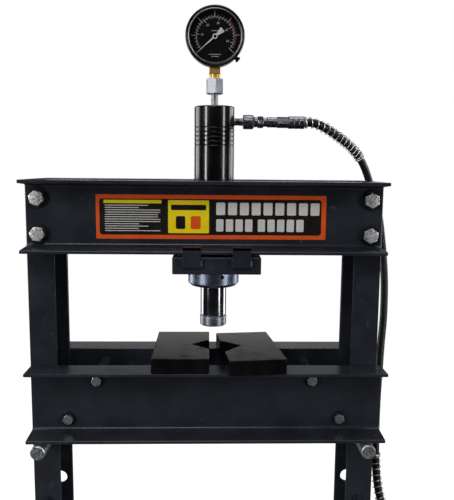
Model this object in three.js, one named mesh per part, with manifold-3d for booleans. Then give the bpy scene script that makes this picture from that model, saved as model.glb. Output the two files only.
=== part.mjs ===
// Hydraulic shop press with a sliding head, a pressure gauge and a side-mounted hand pump.
// Millimetres. X runs along the beams, Y from the operator to the back, Z up.
// The origin is on the floor, under the middle of the base crossbar.
import * as THREE from "three";
import { mergeVertices } from "three/addons/utils/BufferGeometryUtils.js";
import Module from "manifold-3d";

// ---------- driving dimensions ----------

const gap = 0.3; // between pieces that touch

// uprights: rolled channels with their open side inwards
const frameWidth = 606;
const postDepth = 100;
const postFlange = 46.5;
const postWeb = 5;
const footThickness = 6;

// heights
const bedHeight = 1144; // top of the bed above the floor
const daylight = 202; // bed to the underside of the top beams
const topBeamHeight = 119.4;
const bedBeamHeight = 122.7;

// beams: one channel in front of the uprights and one behind, at both levels
const topBeamShort = 4; // the top beams are this much shorter than the frame is wide
const bedBeamOver = 6; // the bed beams are this much longer
const bedBeamShift = 4.4;
const beamFlange = 49;
const beamWeb = 5;
const flangeTip = 5.5;
const flangeRoot = 8;
const rootFillet = 5;

// top beam bolts and bed tie bolts
const topBolt = { radius: 8, across: 24, head: 10, nut: 13, inset: 22, down: 31, pitch: 60 };
const bedBolt = { radius: 6, across: 18.5, head: 7.5 };
const bedBoltPlaces = [
  { inset: 115, down: 25.5 }, // from the frame's side, and below the bed's top
  { inset: 65, down: 95 },
];
const spacerRadius = 11;
const boltPlay = 0.7;

// bed pins and their holes
const pinInset = 23; // from the frame's side
const pinRadius = 12.5;
const pinPlay = 1; // room round a pin in its hole
const pinHole = pinRadius + pinPlay;
const pinPitch = 120;
const pinLevels = 8;
const pinFront = -107;
const pinLength = 194;

// V-notched arbor plates
const plateThickness = 26.6;
const plates = [
  {
    name: "left_arbor_plate", x: -41.2, y: -12.5, turn: 0,
    width: 97.5, length: 173, mouth: 57, notch: 32, side: 1,
  },
  {
    name: "right_arbor_plate", x: 79.4, y: -18, turn: 6.4,
    width: 98.5, length: 176, mouth: 69, notch: 34.5, side: -1,
  },
];

// sliding head
const headX = 14.5; // ram axis
const carriage = { shift: 4.5, width: 146, height: 28.2, drop: 4.5 };
const tab = { width: 30, spacing: 81.5, thickness: 7, rise: 13, lip: 10, foot: 16 };
const ring = { rim: 10.3, height: 34, chamfer: 5 }; // the rim stands out past the cylinder

// cylinder and ram
// its top is so far above the beams' underside
const cylinder = { radius: 35, above: 246, neck: 30, bore: 26, cap: 17, edge: 2.5 };
const groove = { down: 36, pitch: 12, count: 3, depth: 0.8, width: 1.6 }; // below the cylinder's top
const ram = { radius: 23, hollow: 14, exposed: 54.5 };
const ramCap = { radius: 23.9, height: 19.1, chamfer: 2 };
const gland = { length: 45 };
const piston = { height: 30, play: 0.4 };
const stroke = 185;
const retract = 50; // travel left above the rest position
const spring = { radius: 10, wire: 1.6, turns: 9 };

// gauge and its pipe
const gauge = { radius: 50.5, depth: 34, wall: 3, rim: 2.5, lens: 2 };
const stem = { radius: 6.25, into: 12 };
const coupler = { across: 27, rise: 21.4, height: 25.8 }; // above the cylinder's top
const connector = { width: 19.7, spigot: 11, height: 18.2 };
const needle = { length: 39, hub: 5, tail: 17.5, thickness: 1, rest: 221 };

// oil port and hose coupling, along X from the ram axis
const port = { down: 25.5, play: 0.5, nipple: 6.4, bore: 3 }; // below the cylinder's top
// where each piece of the coupling ends, from the cylinder's side
const couplingEnds = {
  nipple: 14.8, socket: 34.1, neck: 40.2, ring: 49.9, waist: 56.4, body: 73.5, hex: 94.6, ferrule: 122.4,
};
const ferrule = { radius: 10.7, across: 17.2 };

// hose: points along its route, from the upper ferrule to the lower one
const hoseRadius = 7.25;
const hoseSides = 10;
const hoseSteps = 48;
const guard = { inner: 8, outer: 10.1, upperSteps: 8, lowerSteps: 8 };
const hoseRoute = [
  [172.2, 0, 1566.5], [184, 0, 1566.5], [197, 2, 1563.5], [211, 6.5, 1557.5], [227, 14.5, 1549],
  [244, 26, 1539.5],
  [261, 40, 1529.5], [278, 57, 1516.5], [293, 74, 1502], [306, 92, 1485], [318, 107, 1463],
  [333, 120, 1429], [345, 124, 1392], [351, 120, 1349], [353.5, 110, 1308], [353.5, 98, 1270],
  [352, 88, 1232], [349, 78, 1194], [344, 68, 1156], [338, 54, 1102], [332, 39, 1043],
  [328, 24, 980], [328, 14, 925], [331, 7, 888], [336, 3, 863], [342, 0.8, 840], [346.2, 0, 821],
  [347, 0, 810], [347, 0, 799.7],
];

// feet and base crossbar
const foot = { length: 560, width: 60, height: 60 };
const crossbar = { depth: 100, height: 46.5 };

// hand pump on the outer side of the right upright
const pumpStandoff = 44; // the pump's middle, from the upright
const shelf = {
  thickness: 6, top: 663.7, reach: 89, front: -88, back: 178, plateDepth: 96, plateDown: 67.7, plateUp: 81.3,
};
const pumpBody = { width: 60, front: -85, back: 25, height: 90 };
const barrel = { y: -62, wall: 5.6, rise: 12 };
const plunger = { radius: 8, play: 0.4, depth: 60 };
const pivot = { y: -36, rise: 34, radius: 5, play: 0.3, lug: 6, lugRadius: 12 };
const socket = { width: 18, below: 8, above: 12, back: 11, front: -112 };
const handle = { radius: 10.5, front: -470 };
const grip = { wall: 3.2, length: 110, play: 0.3, end: 4 };
const tank = { radius: 36, back: 172 };
const nippleHex = { across: 19, height: 18 };
const knob = { y: -36, rise: 28, stem: 5, stemLength: 12, radius: 16, thickness: 16, lobes: 6 };

// facets round a full circle
const smallRound = 12;
const holeSides = 12;
const fineRound = 16;
const mediumRound = 24;
const largeRound = 28;

// ---------- shapes and solids ----------

const wasm = await Module();
wasm.setup();

const degrees = Math.PI / 180;

// A closed three.js geometry as a manifold solid.
function solid(geometry) {
  const bare = geometry.clone();
  bare.deleteAttribute("normal");
  bare.deleteAttribute("uv");
  const merged = mergeVertices(bare, 1e-4);
  return new wasm.Manifold(
    new wasm.Mesh({
      numProp: 3,
      vertProperties: merged.attributes.position.array,
      triVerts: new Uint32Array(merged.index.array),
    }),
  );
}

function geometryOf(manifold) {
  const { vertProperties, triVerts } = manifold.getMesh();
  const geometry = new THREE.BufferGeometry();
  geometry.setAttribute("position", new THREE.BufferAttribute(vertProperties, 3));
  geometry.setIndex(new THREE.BufferAttribute(triVerts, 1));
  return geometry;
}

// The first geometry with the others joined on and the cutters taken away.
function shaped(joined, cutters = []) {
  let body = joined.map(solid).reduce((a, b) => a.add(b));
  for (const cutter of cutters) body = body.subtract(solid(cutter));
  return geometryOf(body);
}

function block(x0, x1, y0, y1, z0, z1) {
  const box = new THREE.BoxGeometry(x1 - x0, y1 - y0, z1 - z0);
  return box.translate((x0 + x1) / 2, (y0 + y1) / 2, (z0 + z1) / 2);
}

// A round bar standing on z0, along Z.
function bar(radius, z0, z1, sides = smallRound) {
  const cylinderShape = new THREE.CylinderGeometry(radius, radius, z1 - z0, sides);
  return cylinderShape.rotateX(Math.PI / 2).translate(0, 0, (z0 + z1) / 2);
}

// A hexagonal bar along Z, by its width across the flats.
function hexBar(across, z0, z1) {
  return bar(across / Math.sqrt(3), z0, z1, 6);
}

// A turned solid about Z, from [radius, z] points that start and end on the axis or close on themselves.
function turned(points, sides = mediumRound) {
  const lathe = new THREE.LatheGeometry(points.map(([r, z]) => new THREE.Vector2(r, z)), sides);
  return lathe.rotateX(Math.PI / 2);
}

// A tube's profile between two heights.
function sleeve(inner, outer, z0, z1) {
  return [[inner, z0], [outer, z0], [outer, z1], [inner, z1], [inner, z0]];
}

// Geometry made along Z, laid along X or Y.
const alongX = (geometry) => geometry.rotateY(Math.PI / 2);
const alongY = (geometry) => geometry.rotateX(-Math.PI / 2);

function extruded(points, length) {
  const outline = () => new THREE.Shape(points.map(([x, y]) => new THREE.Vector2(x, y)));
  const shape = points instanceof THREE.Shape ? points : outline();
  return new THREE.ExtrudeGeometry(shape, { depth: length, bevelEnabled: false, curveSegments: 3 });
}

// A rolled channel's section: web along y from 0 to height, flanges pointing to +x, thicker at the root.
function channelSection(height, flange, web) {
  const shape = new THREE.Shape();
  shape.moveTo(0, 0);
  shape.lineTo(flange, 0);
  shape.lineTo(flange, flangeTip);
  shape.lineTo(web + rootFillet, flangeRoot);
  shape.quadraticCurveTo(web, flangeRoot, web, flangeRoot + rootFillet);
  shape.lineTo(web, height - flangeRoot - rootFillet);
  shape.quadraticCurveTo(web, height - flangeRoot, web + rootFillet, height - flangeRoot);
  shape.lineTo(flange, height - flangeTip);
  shape.lineTo(flange, height);
  shape.lineTo(0, height);
  shape.closePath();
  return shape;
}

// ---------- the assembly ----------

const press = new THREE.Group();

const finishes = {
  framePaint: { color: 0x34373d, roughness: 0.45, metalness: 0.1 },
  blackPaint: { color: 0x15151a, roughness: 0.2, metalness: 0.1 },
  zinc: { color: 0xb9bcc0, roughness: 0.35, metalness: 0.9 },
  chrome: { color: 0xd8dadd, roughness: 0.1, metalness: 1 },
  blued: { color: 0x8b93a8, roughness: 0.25, metalness: 1 },
  castPlate: { color: 0x4a4846, roughness: 0.55, metalness: 0.5 },
  brass: { color: 0xb58d4b, roughness: 0.35, metalness: 1 },
  dialBlack: { color: 0x101010, roughness: 0.6, metalness: 0 },
  needleWhite: { color: 0xdededa, roughness: 0.4, metalness: 0.2 },
  glass: { color: 0xf2f5f7, roughness: 0.05, metalness: 0 },
  hoseRubber: { color: 0x141414, roughness: 0.6, metalness: 0 },
  springSteel: { color: 0x9a9ca0, roughness: 0.3, metalness: 0.9 },
};

function place(name, finish, geometry, x = 0, y = 0, z = 0, turn = 0) {
  const mesh = new THREE.Mesh(geometry, new THREE.MeshStandardMaterial(finishes[finish]));
  mesh.name = name;
  mesh.position.set(x, y, z);
  mesh.rotation.z = turn;
  press.add(mesh);
  return mesh;
}

// heights that follow from the driving ones
const topBeamBottom = bedHeight + daylight;
const frameTop = topBeamBottom + topBeamHeight;
const postBottom = footThickness + gap;
const postHeight = frameTop - postBottom;
const beamBack = postDepth / 2 + gap; // back of each beam's web, from the middle plane
const pinHeight = bedHeight - bedBeamHeight - gap - pinRadius;
const pinHoleFlat = pinHole * Math.cos(Math.PI / holeSides); // from a faceted hole's axis to its flats
const firstPinHole = pinHeight + pinHoleFlat - pinRadius - gap; // the pins lie on the bottom of their holes
const topBoltX = frameWidth / 2 - topBolt.inset;
const pinX = frameWidth / 2 - pinInset;
const pumpX = frameWidth / 2 + pumpStandoff;
const topBoltHeights = [frameTop - topBolt.down, frameTop - topBolt.down - topBolt.pitch];

// ---------- uprights ----------

function post() {
  const channel = extruded(channelSection(postDepth, postFlange, postWeb), postHeight);
  const throughHole = (radius, x, z) =>
    alongY(bar(radius, -gap, postDepth + gap, holeSides)).translate(x, 0, z);
  const cutters = [];
  for (let level = 0; level < pinLevels; level++)
    cutters.push(throughHole(pinHole, pinInset, firstPinHole - level * pinPitch - postBottom));
  for (const height of topBoltHeights)
    cutters.push(throughHole(topBolt.radius + boltPlay, topBolt.inset, height - postBottom));
  return shaped([channel], cutters);
}

place("left_post", "framePaint", post(), -frameWidth / 2, -postDepth / 2, postBottom);
place("right_post", "framePaint", post(), frameWidth / 2, postDepth / 2, postBottom, Math.PI);

// ---------- top beams and their bolts ----------

// A beam along X with its web's back on y = 0 and its flanges towards +y, holes given as { x, z, radius }.
function beam(height, length, holes) {
  const bare = extruded(channelSection(height, beamFlange, beamWeb), length);
  const axes = [new THREE.Vector3(0, 1, 0), new THREE.Vector3(0, 0, 1), new THREE.Vector3(1, 0, 0)];
  const laid = bare.applyMatrix4(new THREE.Matrix4().makeBasis(...axes));
  laid.translate(-length / 2, 0, 0);
  const cutters = holes.map(({ x, z, radius }) => alongY(bar(radius, -1, beamWeb + 1)).translate(x, 0, z));
  return shaped([laid], cutters);
}

const topBeamHoles = (side) =>
  [-1, 1].flatMap((end) =>
    topBoltHeights.map((height) => ({
      x: end * topBoltX * side,
      z: height - topBeamBottom,
      radius: topBolt.radius + boltPlay,
    })),
  );
const topBeamLength = frameWidth - topBeamShort;
const frontTopBeam = beam(topBeamHeight, topBeamLength, topBeamHoles(-1));
const rearTopBeam = beam(topBeamHeight, topBeamLength, topBeamHoles(1));
place("top_beam_front", "framePaint", frontTopBeam, 0, -beamBack, topBeamBottom, Math.PI);
place("top_beam_rear", "framePaint", rearTopBeam, 0, beamBack, topBeamBottom);

// A hexagon bolt along Y, its head's underside on y = 0 and its shank towards +y.
function bolt({ radius, across, head }, length) {
  return alongY(shaped([hexBar(across, -head, 0), bar(radius, -head / 2, length)]));
}

// A hexagon nut along Y, from y = 0.
function nut({ radius, across, nut: height }) {
  return alongY(shaped([hexBar(across, 0, height)], [bar(radius + gap, -1, height + 1)]));
}

const boltFace = beamBack + beamWeb + gap; // the web's outer face, where heads and nuts bear
let boltNumber = 0;
for (const end of [-1, 1])
  for (const height of topBoltHeights) {
    boltNumber += 1;
    const length = 2 * boltFace + topBolt.nut + 3;
    place(`top_bolt_${boltNumber}`, "zinc", bolt(topBolt, length), end * topBoltX, -boltFace, height);
    place(`top_nut_${boltNumber}`, "zinc", nut(topBolt), end * topBoltX, boltFace, height);
  }

// ---------- feet and base crossbar ----------

// A steel angle along Y: a flat leg on the floor from x = 0 to its width, an upright leg at its outer edge.
function footAngle() {
  const outline = [
    [0, 0], [foot.width, 0], [foot.width, foot.height], [foot.width - footThickness, foot.height],
    [foot.width - footThickness, footThickness], [0, footThickness],
  ];
  return extruded(outline, foot.length).rotateX(Math.PI / 2).translate(0, foot.length / 2, 0);
}

const footInner = frameWidth / 2 + gap + footThickness - foot.width;
place("right_foot", "framePaint", footAngle(), footInner);
place("left_foot", "framePaint", footAngle(), -footInner, 0, 0, Math.PI);

const crossbarLength = 2 * (footInner - gap);
const crossbarShape = extruded(channelSection(crossbar.depth, crossbar.height, postWeb), crossbarLength);
crossbarShape.rotateY(-Math.PI / 2);
place("base_crossbar", "framePaint", shaped([crossbarShape]), crossbarLength / 2, -crossbar.depth / 2, 0);

// ---------- bed ----------

const bedBottom = bedHeight - bedBeamHeight;
const bedBoltHoles = (side) =>
  [-1, 1].flatMap((end) =>
    bedBoltPlaces.map(({ inset, down }) => ({
      x: (end * (frameWidth / 2 - inset) - bedBeamShift) * side,
      z: bedBeamHeight - down,
      radius: bedBolt.radius + boltPlay,
    })),
  );
const bedBeamLength = frameWidth + bedBeamOver;
const frontBedBeam = beam(bedBeamHeight, bedBeamLength, bedBoltHoles(-1));
const rearBedBeam = beam(bedBeamHeight, bedBeamLength, bedBoltHoles(1));
place("bed_beam_front", "framePaint", frontBedBeam, bedBeamShift, -beamBack, bedBottom, Math.PI);
place("bed_beam_rear", "framePaint", rearBedBeam, bedBeamShift, beamBack, bedBottom);

let tieNumber = 0;
for (const end of [-1, 1])
  for (const { inset, down } of bedBoltPlaces) {
    tieNumber += 1;
    const x = frameWidth / 2 - inset;
    const height = bedHeight - down;
    const shank = 2 * boltFace + bedBolt.across / 2 + 3;
    place(`bed_bolt_${tieNumber}`, "zinc", bolt(bedBolt, shank), end * x, -boltFace, height);
    const spacerLength = 2 * (beamBack - gap);
    const spacerProfile = sleeve(bedBolt.radius + boltPlay, spacerRadius, 0, spacerLength);
    const spacer = alongY(turned(spacerProfile, smallRound));
    place(`bed_spacer_${tieNumber}`, "framePaint", spacer, end * x, -spacerLength / 2, height);
  }

// ---------- bed pins ----------

for (const [name, side] of [["left_bed_pin", -1], ["right_bed_pin", 1]]) {
  const chamfer = 1.5;
  const profile = [
    [0, 0], [pinRadius - chamfer, 0], [pinRadius, chamfer],
    [pinRadius, pinLength - chamfer], [pinRadius - chamfer, pinLength], [0, pinLength],
  ];
  place(name, "zinc", alongY(turned(profile, mediumRound)), side * pinX, pinFront, pinHeight);
}

// ---------- arbor plates ----------

for (const { name, x, y, turn, width, length, mouth, notch, side } of plates) {
  const outline = [
    [-width / 2, -length / 2], [width / 2, -length / 2], [width / 2, -mouth / 2],
    [width / 2 - notch, 0], [width / 2, mouth / 2], [width / 2, length / 2], [-width / 2, length / 2],
  ];
  const facing = side > 0 ? 0 : Math.PI;
  place(name, "castPlate", extruded(outline, plateThickness), x, y, bedHeight + gap, turn * degrees + facing);
}

// ---------- sliding head: carriage and ring nut ----------

const carriageTop = topBeamBottom - carriage.drop;
const carriageBottom = carriageTop - carriage.height;
const beamFront = beamBack + beamFlange; // flange tips, from the middle plane

const neckBore = cylinder.neck + gap + 0.1;

function carriageShape() {
  const half = carriage.width / 2;
  const deep = beamFront + gap;
  const [left, right] = [carriage.shift - half, carriage.shift + half];
  const pieces = [block(left, right, -deep, deep, carriageBottom, carriageTop)];
  const lipBottom = topBeamBottom + flangeTip + 1.5;
  for (const face of [-1, 1])
    for (const end of [-1, 1]) {
      const middle = carriage.shift + (end * tab.spacing) / 2;
      const [x0, x1] = [middle - tab.width / 2, middle + tab.width / 2];
      const outer = face * (deep + tab.thickness);
      const inner = face * deep;
      const under = face * (deep - tab.lip);
      const top = topBeamBottom + tab.rise;
      const sorted = (a, b) => [Math.min(a, b), Math.max(a, b)];
      pieces.push(block(x0, x1, ...sorted(inner, outer), carriageTop - tab.foot, top));
      pieces.push(block(x0, x1, ...sorted(under, outer), lipBottom, top));
    }
  return shaped(pieces, [bar(neckBore, carriageBottom - 1, carriageTop + 1, largeRound)]);
}

place("head_carriage", "framePaint", carriageShape(), headX);

const ringRadius = cylinder.radius + ring.rim;
const ringTop = carriageBottom - gap;
const ringBottom = ringTop - ring.height;
const neckBottom = ringBottom + 6;
const ringProfile = [
  [neckBore, ringTop], [neckBore, neckBottom - gap], [ram.radius + 1.5, neckBottom - gap],
  [ram.radius + 1.5, ringBottom], [ringRadius - ring.chamfer, ringBottom],
  [ringRadius, ringBottom + ring.chamfer], [ringRadius, ringTop], [neckBore, ringTop],
];
place("ring_nut", "blued", turned(ringProfile, largeRound), headX);

// ---------- cylinder ----------

const cylinderTop = topBeamBottom + cylinder.above;
const shoulder = carriageTop + gap;
const boreTop = cylinderTop - cylinder.cap;
const portHeight = cylinderTop - port.down;
const stemHole = stem.radius + gap + 0.2;

function cylinderShape() {
  const { radius, edge, neck, bore } = cylinder;
  const profile = [
    [0, boreTop], [bore, boreTop], [bore, neckBottom],
    [neck, neckBottom], [neck, shoulder], [radius, shoulder],
  ];
  for (let i = groove.count - 1; i >= 0; i--) {
    const z = cylinderTop - groove.down - i * groove.pitch;
    profile.push([radius, z - groove.width / 2], [radius - groove.depth, z], [radius, z + groove.width / 2]);
  }
  profile.push([radius, cylinderTop - edge], [radius - edge, cylinderTop], [0, cylinderTop]);
  const sidePort = alongX(bar(port.nipple + port.play, bore - 3, radius + 3)).translate(0, 0, portHeight);
  const topPort = bar(stemHole, boreTop - 1, cylinderTop + 1);
  return shaped([turned(profile, largeRound)], [sidePort, topPort]);
}

place("cylinder_body", "blackPaint", cylinderShape(), headX);

const glandTop = neckBottom + gland.length;
const glandProfile = sleeve(ram.radius + gap, cylinder.bore - gap, neckBottom + gap, glandTop);
place("gland_bush", "brass", turned(glandProfile, largeRound), headX);

// ---------- ram ----------

const capBottom = ringBottom - ram.exposed - ramCap.height;
const capTop = capBottom + ramCap.height;
const capProfile = [
  [0, capBottom], [ramCap.radius - ramCap.chamfer, capBottom], [ramCap.radius, capBottom + ramCap.chamfer],
  [ramCap.radius, capTop - ramCap.chamfer], [ramCap.radius - ramCap.chamfer, capTop], [0, capTop],
];
place("ram_cap", "chrome", turned(capProfile, mediumRound), headX);

const rodBottom = capTop + gap;
const pistonBottom = glandTop + stroke - retract;
const rodTop = pistonBottom - gap;
const hollowBottom = rodBottom + 30;
const rodProfile = [
  [0, rodBottom], [ram.radius, rodBottom], [ram.radius, rodTop], [ram.hollow, rodTop],
  [ram.hollow, hollowBottom], [0, hollowBottom],
];
place("ram_rod", "chrome", turned(rodProfile, mediumRound), headX);

const pistonTop = pistonBottom + piston.height;
const pistonProfile = sleeve(ram.hollow, cylinder.bore - piston.play, pistonBottom, pistonTop);
place("piston", "brass", turned(pistonProfile, mediumRound), headX);

// return spring: hangs from the cylinder's end wall into the hollow ram
class Helix extends THREE.Curve {
  constructor(radius, z0, z1, turns) {
    super();
    Object.assign(this, { radius, z0, z1, turns });
  }
  getPoint(t, target = new THREE.Vector3()) {
    const angle = t * this.turns * 2 * Math.PI;
    const height = this.z0 + (this.z1 - this.z0) * t;
    return target.set(this.radius * Math.cos(angle), this.radius * Math.sin(angle), height);
  }
}

function polygon(radius, sides) {
  const corners = [];
  for (let i = 0; i < sides; i++) {
    const angle = ((i + 0.5) / sides) * 2 * Math.PI;
    corners.push(new THREE.Vector2(radius * Math.cos(angle), radius * Math.sin(angle)));
  }
  return corners;
}

const springSides = 5;
const stepsPerTurn = 6;
const springPlay = spring.wire + 1;
const coil = new Helix(spring.radius, hollowBottom + springPlay, boreTop - springPlay, spring.turns);
const coilShape = new THREE.ExtrudeGeometry(new THREE.Shape(polygon(spring.wire, springSides)), {
  steps: spring.turns * stepsPerTurn,
  extrudePath: coil,
  bevelEnabled: false,
});
place("return_spring", "springSteel", coilShape, headX);

// ---------- gauge ----------

const couplerBottom = cylinderTop + coupler.rise;
const couplerTop = couplerBottom + coupler.height;
const connectorBottom = couplerTop + gap;
const connectorTop = connectorBottom + connector.height;
const gaugeCentre = connectorTop + gap + gauge.radius;

const stemProfile = sleeve(2.5, stem.radius, boreTop + 2, couplerBottom + stem.into);
place("gauge_stem", "zinc", turned(stemProfile, smallRound), headX);
const couplerShape = shaped(
  [hexBar(coupler.across, couplerBottom, couplerTop)],
  [bar(stemHole, couplerBottom - 1, couplerTop + 1)],
);
place("hex_coupler", "zinc", couplerShape, headX);

const connectorHalf = connector.width / 2;
const connectorShape = shaped([
  block(-connectorHalf, connectorHalf, -connectorHalf, connectorHalf, connectorBottom, connectorTop),
  bar(stem.radius, couplerTop - connector.spigot, connectorBottom + 1),
]);
place("gauge_connector", "brass", connectorShape, headX);

// The case is a cup open to the front: turned about Z with its mouth at z = 0, then laid along Y.
const caseProfile = [
  [0, gauge.depth - gauge.wall], [gauge.radius - gauge.wall, gauge.depth - gauge.wall],
  [gauge.radius - gauge.wall, 0], [gauge.radius - 1, 0], [gauge.radius, 1],
  [gauge.radius, gauge.depth - 3], [gauge.radius - 3, gauge.depth], [0, gauge.depth],
];
const gaugeFront = -gauge.depth / 2;
place("gauge_case", "blackPaint", alongY(turned(caseProfile, largeRound)), headX, gaugeFront, gaugeCentre);

const dialDepth = 10;
const dialRadius = gauge.radius - gauge.wall - gauge.rim;
const dialShape = turned(sleeve(1.5, dialRadius, dialDepth, dialDepth + 1.5), largeRound);
place("gauge_dial", "dialBlack", alongY(dialShape), headX, gaugeFront, gaugeCentre);

const lensFront = 1.5;
const lensRadius = gauge.radius - gauge.wall - gap;
const lensShape = alongY(bar(lensRadius, lensFront, lensFront + gauge.lens, largeRound));
place("gauge_lens", "glass", lensShape, headX, gaugeFront, gaugeCentre);

// The pointer lies in the dial's plane and reads zero at lower left.
function needleShape() {
  const width = 1.6;
  const tailWidth = 5;
  const outline = [
    [needle.length, 0], [needle.hub, width], [-needle.tail, tailWidth],
    [-needle.tail, -tailWidth], [needle.hub, -width],
  ];
  const blade = extruded(outline, needle.thickness);
  const hub = bar(needle.hub, -1, needle.thickness + 1);
  return shaped([blade, hub]).rotateZ(needle.rest * degrees).rotateX(Math.PI / 2);
}

place("gauge_needle", "needleWhite", needleShape(), headX, gaugeFront + dialDepth - 2, gaugeCentre);

// ---------- oil port, coupling and hose fittings ----------

const nippleStart = cylinder.bore + 1;
const { bore } = port;
const ends = {};
for (const [end, along] of Object.entries(couplingEnds)) ends[end] = cylinder.radius + along;

const turnedX = (profile) => alongX(turned(profile, fineRound));
const nippleProfile = sleeve(bore, port.nipple, nippleStart, ends.nipple - gap);
place("port_nipple", "zinc", turnedX(nippleProfile), headX, 0, portHeight);

const socketProfile = [
  [bore, ends.nipple], [11.4, ends.nipple], [12.3, ends.nipple + 1], [12.3, ends.socket - 1],
  [11.4, ends.socket], [8.6, ends.socket], [8.6, ends.neck - gap], [bore, ends.neck - gap],
  [bore, ends.nipple],
];
place("coupler_socket", "zinc", turnedX(socketProfile), headX, 0, portHeight);

const plugProfile = [
  [bore, ends.neck], [9.6, ends.neck], [10.4, ends.neck + 1], [10.4, ends.ring - 1],
  [9.6, ends.ring], [7.6, ends.ring],
  [7.6, ends.waist], [8.8, ends.waist + 1], [8.8, ends.body], [bore, ends.body], [bore, ends.neck],
];
place("coupler_plug", "zinc", turnedX(plugProfile), headX, 0, portHeight);

const hexBody = shaped(
  [hexBar(ferrule.across, ends.body + gap, ends.hex - gap)],
  [bar(bore, ends.body, ends.hex)],
);
const upperFerrule = shaped([
  alongX(hexBody),
  turnedX(sleeve(bore, ferrule.radius, ends.hex - gap - 1, ends.ferrule)),
]);
place("upper_ferrule", "zinc", upperFerrule, headX, 0, portHeight);

const bodyTop = shelf.top + gap + pumpBody.height;
const ferruleTop = hoseRoute.at(-1)[2] - gap;
const lowerFerrule = shaped([
  hexBar(nippleHex.across, bodyTop + gap, bodyTop + gap + nippleHex.height),
  bar(ferrule.radius, bodyTop + nippleHex.height, ferruleTop, fineRound),
]);
place("lower_ferrule", "zinc", lowerFerrule, pumpX);

// ---------- hose and its spring guards ----------

// The route is drawn for the sizes above. Where the port or the pump moves, the hose's ends move
// with them, and the points between share the two shifts by their height.
const [routeTop, routeFoot] = [hoseRoute[0], hoseRoute.at(-1)];
const topShift = {
  x: headX + ends.ferrule + gap - routeTop[0],
  z: portHeight - routeTop[2],
};
const footShift = pumpX - routeFoot[0];
const routePoints = hoseRoute.map(([x, y, z]) => {
  const share = (z - routeFoot[2]) / (routeTop[2] - routeFoot[2]);
  return new THREE.Vector3(x + share * topShift.x + (1 - share) * footShift, y, z + share * topShift.z);
});
const route = new THREE.CatmullRomCurve3(routePoints, false, "centripetal");
route.arcLengthDivisions = 1000;

// The stretch of a curve between two shares of its length.
class Stretch extends THREE.Curve {
  constructor(whole, from, to) {
    super();
    Object.assign(this, { whole, from, to });
  }
  getPoint(t, target) {
    return this.whole.getPointAt(this.from + (this.to - this.from) * t, target);
  }
}

function tubeAlong(path, steps, radius, inner) {
  const section = new THREE.Shape(polygon(radius, hoseSides));
  if (inner) section.holes.push(new THREE.Path(polygon(inner, hoseSides).reverse()));
  return new THREE.ExtrudeGeometry(section, { steps, extrudePath: path, bevelEnabled: false });
}

place("hydraulic_hose", "hoseRubber", tubeAlong(route, hoseSteps, hoseRadius));
const upperStretch = new Stretch(route, 0, guard.upperSteps / hoseSteps);
const lowerStretch = new Stretch(route, 1 - guard.lowerSteps / hoseSteps, 1);
place("upper_guard", "springSteel", tubeAlong(upperStretch, guard.upperSteps, guard.outer, guard.inner));
place("lower_guard", "springSteel", tubeAlong(lowerStretch, guard.lowerSteps, guard.outer, guard.inner));

// ---------- hand pump ----------

const bracketX = frameWidth / 2 + gap;
const shelfBottom = shelf.top - shelf.thickness;
const plateBottom = shelf.top - shelf.plateDown;
const shelfOuter = frameWidth / 2 + shelf.reach;

function bracketShape() {
  const plateFace = bracketX + shelf.thickness;
  const half = shelf.plateDepth / 2;
  const pieces = [
    block(bracketX, plateFace, -half, half, plateBottom, shelf.top + shelf.plateUp),
    block(bracketX, shelfOuter, shelf.front, shelf.back, shelfBottom, shelf.top),
  ];
  for (const y of [-half + 8, half - 8]) {
    const outline = [
      [plateFace - 1, plateBottom + 4], [shelfOuter - 14, shelfBottom + 1], [plateFace - 1, shelfBottom + 1],
    ];
    const gusset = extruded(outline, shelf.thickness);
    pieces.push(gusset.rotateX(Math.PI / 2).translate(0, y + shelf.thickness / 2, 0));
  }
  return shaped(pieces);
}

place("pump_bracket", "framePaint", bracketShape());

const bodyBottom = shelf.top + gap;
const pivotZ = bodyTop + pivot.rise;
const plungerTop = pivotZ - socket.below - gap;
const lugX = socket.width / 2 + gap;
const plungerBore = plunger.radius + plunger.play;
const boreFloor = bodyTop - plunger.depth - 3;

function pumpBodyShape() {
  const half = pumpBody.width / 2;
  const pieces = [
    block(-half, half, pumpBody.front, pumpBody.back, bodyBottom, bodyTop),
    bar(plungerBore + barrel.wall, bodyTop - 1, bodyTop + barrel.rise, fineRound).translate(0, barrel.y, 0),
  ];
  for (const side of [-1, 1]) {
    const [x0, x1] = side < 0 ? [-lugX - pivot.lug, -lugX] : [lugX, lugX + pivot.lug];
    pieces.push(block(x0, x1, pivot.y - pivot.lugRadius, pivot.y + pivot.lugRadius, bodyTop - 1, pivotZ));
    pieces.push(alongX(bar(pivot.lugRadius, x0, x1, fineRound)).translate(0, pivot.y, pivotZ));
  }
  const cutters = [
    bar(plungerBore, boreFloor, bodyTop + barrel.rise + 1, fineRound).translate(0, barrel.y, 0),
    alongX(bar(pivot.radius + pivot.play, -half, half)).translate(0, pivot.y, pivotZ),
  ];
  return shaped(pieces, cutters);
}

place("pump_body", "blackPaint", pumpBodyShape(), pumpX);
const pivotHalf = lugX + pivot.lug + 2;
place("pump_pivot_pin", "zinc", alongX(bar(pivot.radius, -pivotHalf, pivotHalf)), pumpX, pivot.y, pivotZ);

const plungerProfile = [
  [0, bodyTop - plunger.depth], [plunger.radius, bodyTop - plunger.depth], [plunger.radius, plungerTop - 3],
  [plunger.radius - 3, plungerTop], [0, plungerTop],
];
place("pump_plunger", "chrome", turned(plungerProfile, smallRound), pumpX, barrel.y);

const leverZ = pivotZ + (socket.above - socket.below) / 2;

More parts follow.
